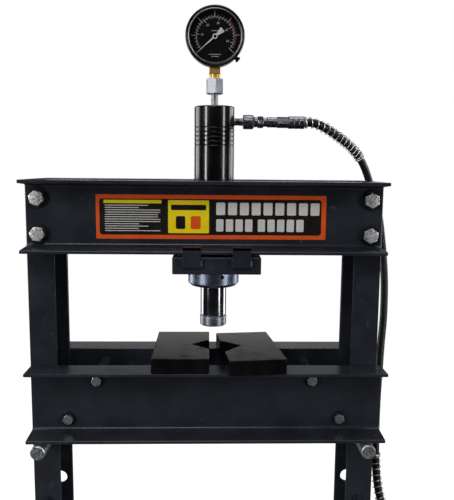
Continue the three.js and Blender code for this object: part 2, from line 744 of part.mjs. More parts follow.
// The handle lies level to the front at rest: a forged socket on the pivot and a round bar.
function handleShape() {
  const half = socket.width / 2;
  const pieces = [
    block(-half, half, socket.front, pivot.y + socket.back, pivotZ - socket.below, pivotZ + socket.above),
    alongY(bar(handle.radius, handle.front, socket.front + 30, fineRound)).translate(0, 0, leverZ),
  ];
  const pinBore = alongX(bar(pivot.radius + pivot.play, -half - 1, half + 1)).translate(0, pivot.y, pivotZ);
  return shaped(pieces, [pinBore]);
}

place("pump_handle", "blackPaint", handleShape(), pumpX);

const gripInner = handle.radius + grip.play;
const gripRadius = gripInner + grip.wall;
const gripStart = handle.front - gap;
const gripProfile = [
  [0, gripStart - grip.end], [gripRadius - 2, gripStart - grip.end], [gripRadius, gripStart - grip.end + 2],
  [gripRadius, gripStart + grip.length], [gripInner, gripStart + grip.length],
  [gripInner, gripStart], [0, gripStart],
];
place("handle_grip", "hoseRubber", alongY(turned(gripProfile, fineRound)), pumpX, 0, leverZ);

const tankProfile = [
  [0, pumpBody.back + gap], [tank.radius, pumpBody.back + gap], [tank.radius, tank.back - 4],
  [tank.radius - 4, tank.back], [0, tank.back],
];
const tankShape = alongY(turned(tankProfile, mediumRound));
place("pump_reservoir", "blackPaint", tankShape, pumpX, 0, bodyBottom + tank.radius);

// Release valve: a lobed knob on a short stem at the pump's outer side.
function knobShape() {
  const start = pumpBody.width / 2 + gap;
  const outline = [];
  for (let i = 0; i < knob.lobes * 4; i++) {
    const angle = (i / (knob.lobes * 4)) * 2 * Math.PI;
    const radius = knob.radius - 1.2 * (1 - Math.cos(angle * knob.lobes));
    outline.push([radius * Math.cos(angle), radius * Math.sin(angle)]);
  }
  const wheel = extruded(outline, knob.thickness).translate(0, 0, start + knob.stemLength);
  return alongX(shaped([bar(knob.stem, start, start + knob.stemLength + 1), wheel]));
}

place("release_knob", "blackPaint", knobShape(), pumpX, knob.y, bodyBottom + knob.rise);

export default press;
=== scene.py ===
# Hydraulic shop press with a sliding head, a pressure gauge and a side-mounted hand pump.
# Metres. X runs along the beams, Y from the operator to the back, Z up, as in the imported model.
import math
import random

import bmesh
import bpy
from mathutils import Matrix, Vector


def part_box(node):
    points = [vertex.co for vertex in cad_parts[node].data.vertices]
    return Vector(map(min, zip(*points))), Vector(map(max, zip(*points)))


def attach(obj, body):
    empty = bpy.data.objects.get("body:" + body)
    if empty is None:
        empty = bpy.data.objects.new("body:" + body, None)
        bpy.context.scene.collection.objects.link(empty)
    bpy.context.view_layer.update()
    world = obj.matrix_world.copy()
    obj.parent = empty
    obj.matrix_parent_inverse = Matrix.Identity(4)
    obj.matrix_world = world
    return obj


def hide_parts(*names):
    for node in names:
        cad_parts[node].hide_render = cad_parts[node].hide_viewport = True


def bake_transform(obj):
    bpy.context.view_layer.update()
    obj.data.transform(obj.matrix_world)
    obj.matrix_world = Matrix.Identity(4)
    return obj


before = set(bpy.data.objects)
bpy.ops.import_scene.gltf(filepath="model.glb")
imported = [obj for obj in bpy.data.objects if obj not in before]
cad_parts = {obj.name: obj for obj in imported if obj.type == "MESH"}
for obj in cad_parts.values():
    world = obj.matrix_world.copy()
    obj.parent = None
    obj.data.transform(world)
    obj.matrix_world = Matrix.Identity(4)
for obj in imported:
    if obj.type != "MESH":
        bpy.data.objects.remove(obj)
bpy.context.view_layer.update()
mm = 0.001


# ---------- the view ----------
# An operator's view from a little over a metre in front of the head, level with the top beams.
# It looks slightly down, so that the beams' top flanges and the bed's arbor plates show.

view_from = Vector((6.3, -1097.2, 1486.9)) * mm
view_pitch, view_yaw, view_roll = 0.1321, 0.0293, 0.0093
camera_data = bpy.data.cameras.new("camera")
camera_data.lens = 44.47
camera_data.sensor_width = 36
camera = bpy.data.objects.new("camera", camera_data)
bpy.context.scene.collection.objects.link(camera)
aim = Matrix.Rotation(-view_yaw, 3, "Z") @ Matrix.Rotation(math.pi / 2 - view_pitch, 3, "X")
camera.matrix_world = Matrix.Translation(view_from) @ (aim @ Matrix.Rotation(view_roll, 3, "Z")).to_4x4()
bpy.context.scene.camera = camera


# ---------- hydraulic hose ----------
# A high-pressure rubber hose, 14.5 mm across, from the coupling on the cylinder to the hand pump.
# It arches back over the rear top beam and drops behind and beside the right upright.

hose_points = [
    (172.2, 0, 1566.5), (184, 0, 1566.5), (197, 2, 1563.5), (211, 6.5, 1557.5), (227, 14.5, 1549),
    (244, 26, 1539.5), (261, 40, 1529.5), (278, 57, 1516.5), (293, 74, 1502), (306, 92, 1485),
    (318, 107, 1463), (333, 120, 1429), (345, 124, 1392), (351, 120, 1349), (353.5, 110, 1308),
    (353.5, 98, 1270), (352, 88, 1232), (349, 78, 1194), (344, 68, 1156), (338, 54, 1102),
    (332, 39, 1043), (328, 24, 980), (328, 14, 925), (331, 7, 888), (336, 3, 863), (342, 0.8, 840),
    (346.2, 0, 821), (347, 0, 810), (347, 0, 799.7),
]
hose_diameter = 14.5 * mm


def smooth_route(corners, steps):
    """A centripetal Catmull-Rom curve through the points, with so many steps a span."""
    held = [2 * corners[0] - corners[1], *corners, 2 * corners[-1] - corners[-2]]
    route = [corners[0]]
    for p0, p1, p2, p3 in zip(held, held[1:], held[2:], held[3:]):
        d0, d1, d2 = [math.sqrt((b - a).length) for a, b in ((p0, p1), (p1, p2), (p2, p3))]
        leave = ((p1 - p0) / d0 - (p2 - p0) / (d0 + d1) + (p2 - p1) / d1) * d1
        arrive = ((p2 - p1) / d1 - (p3 - p1) / (d1 + d2) + (p3 - p2) / d2) * d1
        for step in range(1, steps + 1):
            t = step / steps
            bend = (2 * (p1 - p2) + leave + arrive) * t**3
            route.append(p1 + leave * t + (3 * (p2 - p1) - 2 * leave - arrive) * t**2 + bend)
    return route


def frames_along(path):
    """A place for a cross-section at each point of a path, turning no more than the path does."""
    steps = [(after - before).normalized() for before, after in zip(path, path[1:])]
    headings = [steps[0], *((a + b).normalized() for a, b in zip(steps, steps[1:])), steps[-1]]
    side = headings[0].orthogonal().normalized()
    places = []
    for point, heading in zip(path, headings):
        side = (side - heading * side.dot(heading)).normalized()
        across = Matrix((side, heading.cross(side), heading)).transposed()
        places.append(Matrix.Translation(point) @ across.to_4x4())
    return places


def tube(path, radii, sides):
    """A closed round tube: one disc, extruded from each place on the path to the next."""
    bm = bmesh.new()
    bmesh.ops.create_circle(bm, segments=sides, radius=1, cap_ends=True)
    rings = [place @ Matrix.Scale(radius, 4) for place, radius in zip(frames_along(path), radii)]
    bmesh.ops.transform(bm, matrix=rings[0], verts=bm.verts)
    end = list(bm.faces)[0]
    for ring, following in zip(rings, rings[1:]):
        grown = bmesh.ops.extrude_face_region(bm, geom=[end])["geom"]
        end = next(item for item in grown if isinstance(item, bmesh.types.BMFace))
        bmesh.ops.transform(bm, matrix=following @ ring.inverted(), verts=list(end.verts))
    return bm


def linear(hex_colour):
    """An sRGB hex colour as the linear colour that the shaders use."""
    shares = [int(hex_colour[i : i + 2], 16) / 255 for i in (1, 3, 5)]
    return [s / 12.92 if s <= 0.04045 else ((s + 0.055) / 1.055) ** 2.4 for s in shares] + [1.0]


def node(tree, kind, inputs=None, **settings):
    """Add one node with its settings; each input is a value or another node's output."""
    made = tree.nodes.new(kind)
    for name, value in settings.items():
        setattr(made, name, value)
    for name, value in (inputs or {}).items():
        if isinstance(value, bpy.types.NodeSocket):
            tree.links.new(value, made.inputs[name])
        else:
            made.inputs[name].default_value = value
    return made


def surface(name, values):
    """A material whose Principled shader starts from the given values."""
    made = bpy.data.materials.new(name)
    made.use_nodes = True
    shader = made.node_tree.nodes["Principled BSDF"]
    for socket, value in values.items():
        shader.inputs[socket].default_value = value
    return made, made.node_tree, shader


def mottle(tree, shader, size, low, high, rough=None, bump=0.0, grain=None, detail=3.0, stretch=(1, 1, 1)):
    """Vary a surface by noise of a real size: two colours, a range of roughness and a fine relief."""
    place = node(tree, "ShaderNodeTexCoord").outputs["Object"]
    place = node(tree, "ShaderNodeMapping", {"Vector": place, "Scale": stretch}).outputs["Vector"]
    broad = node(tree, "ShaderNodeTexNoise", {"Vector": place, "Scale": 1 / size, "Detail": detail})
    share = node(
        tree, "ShaderNodeMapRange",
        {"Value": broad.outputs["Fac"], "From Min": 0.32, "From Max": 0.68},
    ).outputs["Result"]
    tone = node(tree, "ShaderNodeMix", data_type="RGBA")
    tree.links.new(share, tone.inputs["Factor"])
    tone.inputs[6].default_value = linear(low)
    tone.inputs[7].default_value = linear(high)
    tree.links.new(tone.outputs[2], shader.inputs["Base Color"])
    if rough:
        spread = node(tree, "ShaderNodeMapRange", {"Value": share, "To Min": rough[0], "To Max": rough[1]})
        tree.links.new(spread.outputs["Result"], shader.inputs["Roughness"])
    if bump:
        fine = node(
            tree, "ShaderNodeTexNoise",
            {"Vector": place, "Scale": 1 / (grain or size), "Detail": 2.0},
        )
        relief = node(
            tree, "ShaderNodeBump", {"Height": fine.outputs["Fac"], "Strength": 1.0, "Distance": bump},
        )
        tree.links.new(relief.outputs["Normal"], shader.inputs["Normal"])
    return tone


def piece(name, bm, material, body, stands_for=(), sharp=32):
    """Close a piece's mesh, shade it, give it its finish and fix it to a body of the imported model."""
    bmesh.ops.remove_doubles(bm, verts=bm.verts, dist=0.002 * mm)
    bmesh.ops.recalc_face_normals(bm, faces=bm.faces)
    mesh = bpy.data.meshes.new(name)
    bm.to_mesh(mesh)
    bm.free()
    mesh.materials.append(material)
    mesh.shade_smooth()
    mesh.set_sharp_from_angle(angle=math.radians(sharp))
    made = bpy.data.objects.new(name, mesh)
    bpy.context.scene.collection.objects.link(made)
    weighted = made.modifiers.new("weighted normals", "WEIGHTED_NORMAL")
    weighted.keep_sharp = True
    if body:
        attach(made, body)
    if stands_for:
        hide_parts(*stands_for)
    return made


# Black rubber cover, calendered and slightly matt: dark, with a soft sheen and a fine grain.
hose_rubber, tree, shader = surface("hose_cover_rubber", {"Specular IOR Level": 0.4})
mottle(tree, shader, 9 * mm, "#080809", "#121214", rough=(0.36, 0.5), bump=0.12 * mm, grain=1.6 * mm)

hose_route = smooth_route([Vector(point) * mm for point in hose_points], 8)
hose_length = sum((b - a).length for a, b in zip(hose_route, hose_route[1:]))
hose = piece(
    "hose_cover", tube(hose_route, [hose_diameter / 2] * len(hose_route), 24), hose_rubber,
    None, stands_for=["hydraulic_hose"],
)
guard_reach = hose_length / 6  # how far a spring guard covers the hose from its end
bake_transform(hose)


# ---------- spring guards ----------
# Guards of bright 1.6 mm spring wire, slipped over both ends of the hose.
# They keep it from kinking at its fittings; the last turns of each are wound tight.

wire_radius = 0.8 * mm
guard_radius = 9.25 * mm  # middle of the wire
open_pitch, tight_pitch = 10.8 * mm, 1.8 * mm
tight_turns = 3


def guard_coil(centre_line, reach):
    """A wire wound round the first stretch of a line: two touching turns, open turns, three tight ones."""
    places = frames_along(centre_line)
    distances = [0.0]
    for before, after in zip(centre_line, centre_line[1:]):
        distances.append(distances[-1] + (after - before).length)
    turned_by, along, path = 0.0, wire_radius, []
    steps_a_turn = 20
    while along < reach - wire_radius:
        tight = along < 2 * tight_pitch or along > reach - tight_turns * tight_pitch
        span = max(i for i, d in enumerate(distances) if d <= along)
        place = places[span].lerp(
            places[span + 1], (along - distances[span]) / (distances[span + 1] - distances[span]),
        )
        across = Vector((math.cos(turned_by), math.sin(turned_by), 0)) * guard_radius
        path.append(place @ across)
        along += (tight_pitch if tight else open_pitch) / steps_a_turn
        turned_by += 2 * math.pi / steps_a_turn
    return tube(path, [wire_radius] * len(path), 8)


# Drawn spring wire, zinc finished: bright metal with faint lengthways streaks.
spring_wire, tree, shader = surface("zinc_finished_spring_wire", {"Metallic": 1.0})
mottle(tree, shader, 4 * mm, "#c3c5ca", "#eceef1", rough=(0.34, 0.46))

piece(
    "upper_guard_coil", guard_coil(hose_route, guard_reach), spring_wire, "head",
    ["upper_guard"],
)
piece(
    "lower_guard_coil", guard_coil(hose_route[::-1], guard_reach), spring_wire,
    "frame", ["lower_guard"],
)


# ---------- uprights ----------
# Two 100 mm rolled steel channels, standing with their open sides inwards.
# Each is bored through both flanges, eight times at 120 mm for the bed pins; the holes for the top bolts
# are not cut.

root_fillet, toe_round, heel_round = 6 * mm, 2.2 * mm, 1.2 * mm
web_thickness, toe_thickness, root_thickness = 5 * mm, 5.5 * mm, 8 * mm


def rounded(corners, closed=False, steps=5):
    """An outline through (x, y, round) corners, each corner with a round cut off by an arc."""
    count = len(corners)
    outline = []
    for i, corner in enumerate(corners):
        here = Vector(corner[:2])
        ends = not closed and i in (0, count - 1)
        if ends or len(corner) < 3 or not corner[2]:
            outline.append(here)
            continue
        back = (Vector(corners[i - 1][:2]) - here).normalized()
        ahead = (Vector(corners[(i + 1) % count][:2]) - here).normalized()
        half = back.angle(ahead) / 2
        centre = here + (back + ahead).normalized() * (corner[2] / math.sin(half))
        reach = corner[2] / math.tan(half)
        start, stop = here + back * reach - centre, here + ahead * reach - centre
        for step in range(steps + 1):
            spoke = (start * (steps - step) + stop * step).normalized()
            outline.append(centre + spoke * corner[2])
    return outline


def channel_outline(height, flange):
    """A rolled channel's section: its web on x = 0, its flanges towards +x."""
    return rounded([
        (0, 0, heel_round), (flange, 0, 0.6 * mm), (flange, toe_thickness, toe_round),
        (web_thickness, root_thickness + 0.4 * mm, root_fillet),
        (web_thickness, height - root_thickness - 0.4 * mm, root_fillet),
        (flange, height - toe_thickness, toe_round), (flange, height, 0.6 * mm), (0, height, heel_round),
    ], closed=True)


def drawn_out(outline, length, edge=0.0):
    """A closed outline in XY drawn out along Z, its two end rims eased by a small bevel."""
    bm = bmesh.new()
    foot_face = bm.faces.new([bm.verts.new((x, y, 0)) for x, y in outline])
    grown = bmesh.ops.extrude_face_region(bm, geom=[foot_face])["geom"]
    far = [item for item in grown if isinstance(item, bmesh.types.BMVert)]
    bmesh.ops.translate(bm, vec=(0, 0, length), verts=far)
    if edge:
        rims = [e for e in bm.edges if abs(e.verts[0].co.z - e.verts[1].co.z) < length / 2]
        bmesh.ops.bevel(
            bm, geom=rims, offset=edge, offset_type="OFFSET", affect="EDGES", segments=1,
            profile=0.5, material=-1, clamp_overlap=True,
        )
    return bm


def moved(bm, matrix):
    """The same bmesh, moved or turned."""
    bmesh.ops.transform(bm, matrix=matrix, verts=bm.verts)
    return bm


def joined(*parts):
    """Several bmeshes in one."""
    whole = bmesh.new()
    for part in parts:
        mesh = bpy.data.meshes.new("part")
        part.to_mesh(mesh)
        part.free()
        whole.from_mesh(mesh)
        bpy.data.meshes.remove(mesh)
    return whole


def combined(body, tool, operation="DIFFERENCE"):
    """The body with a tool cut away from it, welded to it, or only what both share."""
    pair = []
    for bm in (body, tool):
        bmesh.ops.recalc_face_normals(bm, faces=bm.faces)
        mesh = bpy.data.meshes.new("working")
        bm.to_mesh(mesh)
        bm.free()
        made = bpy.data.objects.new("working", mesh)
        bpy.context.scene.collection.objects.link(made)
        pair.append(made)
    step = pair[0].modifiers.new("cut", "BOOLEAN")
    step.operation = operation
    step.object = pair[1]
    step.solver = "EXACT"
    result = bmesh.new()
    shaped = pair[0].evaluated_get(bpy.context.evaluated_depsgraph_get())
    result.from_mesh(shaped.to_mesh())
    shaped.to_mesh_clear()
    for made in pair:
        bpy.data.objects.remove(made, do_unlink=True)
    return result


def rod(radius, low, high, sides=48):
    """A plain round rod along Z."""
    bm = bmesh.new()
    bmesh.ops.create_cone(
        bm, cap_ends=True, segments=sides, radius1=radius, radius2=radius, depth=high - low,
        matrix=Matrix.Translation((0, 0, (low + high) / 2)),
    )
    return bm


to_x = Matrix.Rotation(math.pi / 2, 4, "Y")  # lays a piece made along Z along X
to_y = Matrix.Rotation(-math.pi / 2, 4, "X")  # lays it along Y

# Charcoal powder coat on rolled steel: satin, with the faint orange peel and dusty scuffs of a
# workshop machine. The peel is drawn at 2.5 mm, coarser than real, so that it shows.
frame_paint, tree, shader = surface("charcoal_powder_coat", {"Specular IOR Level": 0.45})
tone = mottle(
    tree, shader, 60 * mm, "#22252c", "#2a2e36", rough=(0.22, 0.32), bump=0.06 * mm, grain=2.5 * mm,
)
object_place = node(tree, "ShaderNodeTexCoord").outputs["Object"]
scuffs = node(tree, "ShaderNodeTexNoise", {"Vector": object_place, "Scale": 1 / (14 * mm), "Detail": 8.0})
scuff_share = node(
    tree, "ShaderNodeMapRange",
    {"Value": scuffs.outputs["Fac"], "From Min": 0.64, "From Max": 0.74, "To Max": 0.35},
).outputs["Result"]
dusty = node(tree, "ShaderNodeMix", data_type="RGBA")
tree.links.new(scuff_share, dusty.inputs["Factor"])
tree.links.new(tone.outputs[2], dusty.inputs[6])
dusty.inputs[7].default_value = linear("#505257")
tree.links.new(dusty.outputs[2], shader.inputs["Base Color"])

hole_radius, hole_pitch, hole_levels = 13 * mm, 120 * mm, 8
pin_low, pin_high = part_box("left_bed_pin")
pin_radius = (pin_high.z - pin_low.z) / 2
first_hole_height = (pin_low.z + pin_high.z) / 2 + hole_radius - pin_radius - 0.4 * mm


def pin_hole_tools(x, low, high):
    """Drills for one upright: one through both flanges at each bed level."""
    drills = []
    for level in range(hole_levels):
        drill = moved(rod(hole_radius, low.y - 5 * mm, high.y + 5 * mm), to_y)
        height = first_hole_height - level * hole_pitch
        drills.append(moved(drill, Matrix.Translation((x, 0, height))))
    return joined(*drills)


for side, post, pin in (("left", "left_post", "left_bed_pin"), ("right", "right_post", "right_bed_pin")):
    low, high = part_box(post)
    upright = drawn_out(channel_outline(high.y - low.y, high.x - low.x), high.z - low.z, edge=0.5 * mm)
    if side == "left":
        upright = moved(upright, Matrix.Translation(low))
    else:
        turn = Matrix.Rotation(math.pi, 4, "Z")
        upright = moved(upright, Matrix.Translation((high.x, high.y, low.z)) @ turn)
    pin_x = (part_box(pin)[0].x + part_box(pin)[1].x) / 2
    upright = combined(upright, pin_hole_tools(pin_x, low, high))
    piece(f"{side}_upright", upright, frame_paint, "frame", [post])


# ---------- top beams and bed beams ----------
# Rolled channels, one in front of the uprights and one behind at each level, flanges outwards.
# They are sawn to length and bolted or pinned through their webs.

beams = (
    ("front_top_beam", "top_beam_front", "frame"), ("rear_top_beam", "top_beam_rear", "frame"),
    ("front_bed_beam", "bed_beam_front", "bed"), ("rear_bed_beam", "bed_beam_rear", "bed"),
)
for name, cad_node, body in beams:
    low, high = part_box(cad_node)
    section = channel_outline(high.z - low.z, high.y - low.y)
    # the section's x points along Y, away from the uprights, its y points up, and it is drawn out along X
    outward = 1 if low.y > 0 else -1
    axes = Matrix(((0, 0, -outward), (outward, 0, 0), (0, 1, 0))).to_4x4()
    corner = Vector((high.x if outward > 0 else low.x, low.y if outward > 0 else high.y, low.z))
    beam = moved(drawn_out(section, high.x - low.x, edge=0.6 * mm), Matrix.Translation(corner) @ axes)
    piece(name, beam, frame_paint, body, [cad_node])


# ---------- bolts and nuts ----------
# Hexagon bolts, M16 through the top beams and M12 through the bed, with their nuts at the back.
# They are forged and bright zinc plated, which gives a mottled, crazed shine.

bolt_metal, tree, shader = surface("bright_zinc_plate", {"Metallic": 1.0})
mottle(
    tree, shader, 3.2 * mm, "#b9bcc0", "#f4f5f6", rough=(0.36, 0.56), bump=0.18 * mm, grain=2.6 * mm,
    detail=5.0,
)


# Worn zinc, on the bed's bolts and pins: greyer and oily, in patches.
dull_zinc, tree, shader = surface("worn_oily_zinc_plate", {"Metallic": 1.0})
mottle(
    tree, shader, 3 * mm, "#8f9195", "#e8eaed", rough=(0.3, 0.5), bump=0.12 * mm, grain=2 * mm,
    detail=5.0,
)

# Black oxide on the washers: nearly black, oily, with a weak satin shine.
black_oxide, tree, shader = surface("oiled_black_oxide", {"Metallic": 0.4})
mottle(tree, shader, 5 * mm, "#0b0b0d", "#17181a", rough=(0.34, 0.48))


def turned(outline, steps=64, closed=False):
    """An outline of (radius, height) points spun round Z into a closed solid."""
    bm = bmesh.new()
    verts = [bm.verts.new((point[0], 0, point[1])) for point in outline]
    edges = [bm.edges.new(pair) for pair in zip(verts, verts[1:])]
    if closed:
        edges.append(bm.edges.new((verts[-1], verts[0])))
    bmesh.ops.spin(
        bm, geom=verts + edges, axis=(0, 0, 1), cent=(0, 0, 0), angle=2 * math.pi, steps=steps,
        use_merge=True,
    )
    bmesh.ops.remove_doubles(bm, verts=bm.verts, dist=0.002 * mm)
    bmesh.ops.dissolve_degenerate(bm, dist=0.001 * mm, edges=bm.edges)
    return bm


def hexagon(across, low, high, both=True, turn=0.0):
    """A hexagon bar along Z whose corners are chamfered, as on a bolt head or a nut."""
    corner = across / math.sqrt(3)
    prism = rod(corner, low, high, sides=6)
    prism = moved(prism, Matrix.Rotation(turn, 4, "Z"))
    flat, drop = across / 2 * 0.96, (corner - across / 2) * 0.62
    foot = [(flat, low), (corner + 0.2 * mm, low + drop)] if both else [(corner + 0.2 * mm, low)]
    cone = turned([(0, low), *foot, (corner + 0.2 * mm, high - drop), (flat, high), (0, high)])
    return combined(prism, cone, "INTERSECT")


def thread(radius, low, high, pitch):
    """A threaded end: a rod with a ridge for each turn and a chamfered tip."""
    outline = [(0, low), (radius, low)]
    depth = 0.5 * pitch
    turns = int((high - low - depth) / pitch)
    for turn in range(turns):
        height = low + turn * pitch
        outline += [(radius - depth, height + pitch / 2), (radius, height + pitch)]
    return turned([*outline, (radius - depth, high), (0, high)], steps=32)


def bolt(name, cad_node, body, across, turn, metal=bolt_metal):
    """A bolt along Y in the place of its CAD node: head to the front on its washer, thread at the back."""
    low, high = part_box(cad_node)
    x, z = (low.x + high.x) / 2, (low.z + high.z) / 2
    head_back, washer_thickness = -55.6 * mm, 0.13 * across
    radius, rim = 0.66 * across / 2, 0.76 * across
    head = hexagon(across, low.y, head_back - washer_thickness, both=False, turn=turn)
    # the head's chamfered face looks forwards, so it is made upside down and turned over
    turn_over = Matrix.Rotation(math.pi, 4, "X")
    turn_over.translation = (0, 0, head_back - washer_thickness + low.y)
    head = moved(head, turn_over)
    washer = turned(rounded([
        (radius + 0.3 * mm, head_back - washer_thickness), (rim, head_back - washer_thickness, 0.5 * mm),
        (rim, head_back, 0.3 * mm), (radius + 0.3 * mm, head_back),
    ]), closed=True)
    washer = moved(moved(washer, to_y), Matrix.Translation((x, 0, z)))
    piece(f"{name}_washer", washer, black_oxide, body)
    shank = joined(
        rod(radius, head_back - 1 * mm, -head_back), thread(radius, -head_back, high.y, 1.75 * mm),
    )
    whole = moved(joined(head, shank), to_y)
    piece(name, moved(whole, Matrix.Translation((x, 0, z))), metal, body, [cad_node])
    return x, z


random.seed(4)
for number in range(1, 5):
    x, z = bolt(f"top_beam_bolt_{number}", f"top_bolt_{number}", "frame", 22.6 * mm, random.uniform(0, 1))
    low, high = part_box(f"top_nut_{number}")
    nut = combined(hexagon(24 * mm, low.y, high.y, turn=random.uniform(0, 1)), rod(8.2 * mm, 0, 1))
    nut = moved(moved(nut, to_y), Matrix.Translation((x, 0, z)))
    piece(f"top_beam_nut_{number}", nut, bolt_metal, "frame", [f"top_nut_{number}"])

for number in range(1, 5):
    x, z = bolt(
        f"bed_tie_bolt_{number}", f"bed_bolt_{number}", "bed", 16 * mm, random.uniform(0, 1),
        dull_zinc,
    )
    web_back = 55.6 * mm
    nut = combined(
        hexagon(18.5 * mm, web_back, web_back + 9 * mm, turn=random.uniform(0, 1)),
        rod(6.2 * mm, 0, 1),
    )
    nut = moved(moved(nut, to_y), Matrix.Translation((x, 0, z)))
    piece(f"bed_tie_nut_{number}", nut, bolt_metal, "bed")
    low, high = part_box(f"bed_spacer_{number}")
    pipe = turned([(6.9 * mm, low.y), (11 * mm, low.y), (11 * mm, high.y), (6.9 * mm, high.y)], closed=True)
    pipe = moved(moved(pipe, to_y), Matrix.Translation((x, 0, z)))
    piece(f"bed_spacer_pipe_{number}", pipe, frame_paint, "bed", [f"bed_spacer_{number}"])


# ---------- bed pins ----------
# Two round steel bars through the uprights, which carry the bed on its bottom flanges.
# They are turned, chamfered and zinc plated, and are drawn out forwards to move the bed.

for name, cad_node in (("left_pin_bar", "left_bed_pin"), ("right_pin_bar", "right_bed_pin")):
    low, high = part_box(cad_node)
    radius, ease = (high.z - low.z) / 2, 1.6 * mm
    bar = turned([
        (0, low.y), (radius - ease, low.y), (radius, low.y + ease), (radius, high.y - ease),
        (radius - ease, high.y), (0, high.y),
    ])
    place = Matrix.Translation(((low.x + high.x) / 2, 0, (low.z + high.z) / 2))
    body = "left_pin" if low.x < 0 else "right_pin"
    piece(name, moved(moved(bar, to_y), place), dull_zinc, body, [cad_node])


# ---------- arbor plates ----------
# Two thick steel plates that lie on the bed and carry the work, each with a V notch in one edge.
# They are flame cut and dipped in black paint, which dries glossy with a slight unevenness.

plate_steel, tree, shader = surface("dipped_gloss_black_paint", {"Specular IOR Level": 0.4})
mottle(
    tree, shader, 26 * mm, "#060606", "#0c0c0b", rough=(0.16, 0.28), bump=0.06 * mm, grain=5 * mm,
    detail=6.0,
)

# width and length across the turned plate, notch mouth and depth, turn in degrees, side the notch faces
plate_shapes = (
    ("left_notched_plate", "left_arbor_plate", "left_plate", 97.5, 173, 57, 32, 0, 1),
    ("right_notched_plate", "right_arbor_plate", "right_plate", 98.5, 176, 69, 34.5, 6.4, -1),
)
for name, cad_node, body, width, length, mouth, notch, turn, facing in plate_shapes:
    low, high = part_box(cad_node)
    half, reach = width / 2, length / 2
    outline = rounded([
        (-half, -reach, 1.5), (half, -reach, 1.5), (half, -mouth / 2, 2), (half - notch, 0, 3),
        (half, mouth / 2, 2), (half, reach, 1.5), (-half, reach, 1.5),
    ], closed=True)
    plate = drawn_out([point * mm for point in outline], high.z - low.z, edge=1.0 * mm)
    aim = Matrix.Rotation(math.radians(turn) + (0 if facing > 0 else math.pi), 4, "Z")
    centre = Vector(((low.x + high.x) / 2, (low.y + high.y) / 2, low.z))
    piece(
        name, moved(plate, Matrix.Translation(centre) @ aim), plate_steel, body,
        [cad_node],
    )


# ---------- sliding head ----------
# A thick steel block hangs under the top beams and slides along them on four hooked tabs.
# The tabs are plates welded to its front and back; block, tabs and beads are painted together.

head_low, head_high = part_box("head_carriage")
cylinder_low, cylinder_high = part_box("cylinder_body")
head_x = (cylinder_low.x + cylinder_high.x) / 2
tab_width, tab_thickness, lip_depth, lip_height = 30 * mm, 7 * mm, 10 * mm, 6 * mm
tab_middles = (head_x - 36.25 * mm, head_x + 45.25 * mm)
tab_bottom, block_top = 1325.5 * mm, 1341.5 * mm


def block(low, high, edge=1.0 * mm, segments=2):
    """A rectangular block with eased edges."""
    bm = bmesh.new()
    size = Vector(high) - Vector(low)
    centre = (Vector(high) + Vector(low)) / 2
    bmesh.ops.create_cube(bm, size=1, matrix=Matrix.Translation(centre) @ Matrix.Diagonal((*size, 1)))
    bmesh.ops.bevel(
        bm, geom=bm.edges, offset=edge, offset_type="OFFSET", affect="EDGES", segments=segments,
        profile=0.5, material=-1, clamp_overlap=True,
    )
    return bm


def weld_bead(start, end, radius=2.2 * mm):
    """A rippled bead of weld metal laid along a joint."""
    start, end = Vector(start), Vector(end)
    count = max(6, int((end - start).length / (1.1 * mm)))
    path = [start.lerp(end, i / count) for i in range(count + 1)]
    radii = [radius * (0.55 if i in (0, count) else 1 + 0.13 * math.sin(i * 1.9)) for i in range(count + 1)]
    return tube(path, radii, 10)


block_front, block_back = head_low.y + tab_thickness, head_high.y - tab_thickness
carriage = block(
    (head_low.x, block_front, head_low.z), (head_high.x, block_back, block_top), edge=1.6 * mm, segments=3,
)
bore = moved(rod(30.4 * mm, head_low.z - 5 * mm, block_top + 5 * mm), Matrix.Translation((head_x, 0, 0)))
carriage = combined(carriage, bore)
parts = [carriage]
for middle in tab_middles:
    for face, inside in ((head_low.y, 1), (head_high.y, -1)):
        span = sorted((face, face + inside * tab_thickness))
        parts.append(block(
            (middle - tab_width / 2, span[0], tab_bottom), (middle + tab_width / 2, span[1], head_high.z),
        ))
        hook = sorted((face, face + inside * (tab_thickness + lip_depth)))
        parts.append(block(
            (middle - tab_width / 2, hook[0], head_high.z - lip_height),
            (middle + tab_width / 2, hook[1], head_high.z),
        ))
        joint = face + inside * tab_thickness
        for edge in (-1, 1):
            x = middle + edge * tab_width / 2
            parts.append(weld_bead((x, joint, tab_bottom), (x, joint, block_top - 3 * mm)))
        parts.append(weld_bead(
            (middle - tab_width / 2, joint, tab_bottom), (middle + tab_width / 2, joint, tab_bottom),
        ))
piece("head_block_with_tabs", joined(*parts), frame_paint, "head", ["head_carriage"])


# ---------- ring nut ----------
# A round steel nut on the cylinder's neck, which clamps the cylinder to the head from below.
# It is turned and blued, with four drilled holes for a hook spanner.

blued_steel, tree, shader = surface("turned_blued_steel", {"Metallic": 1.0})
mottle(
    tree, shader, 14 * mm, "#727b94", "#a3acc2", rough=(0.28, 0.38), bump=0.05 * mm, grain=1.2 * mm,
    stretch=(1, 1, 9),
)

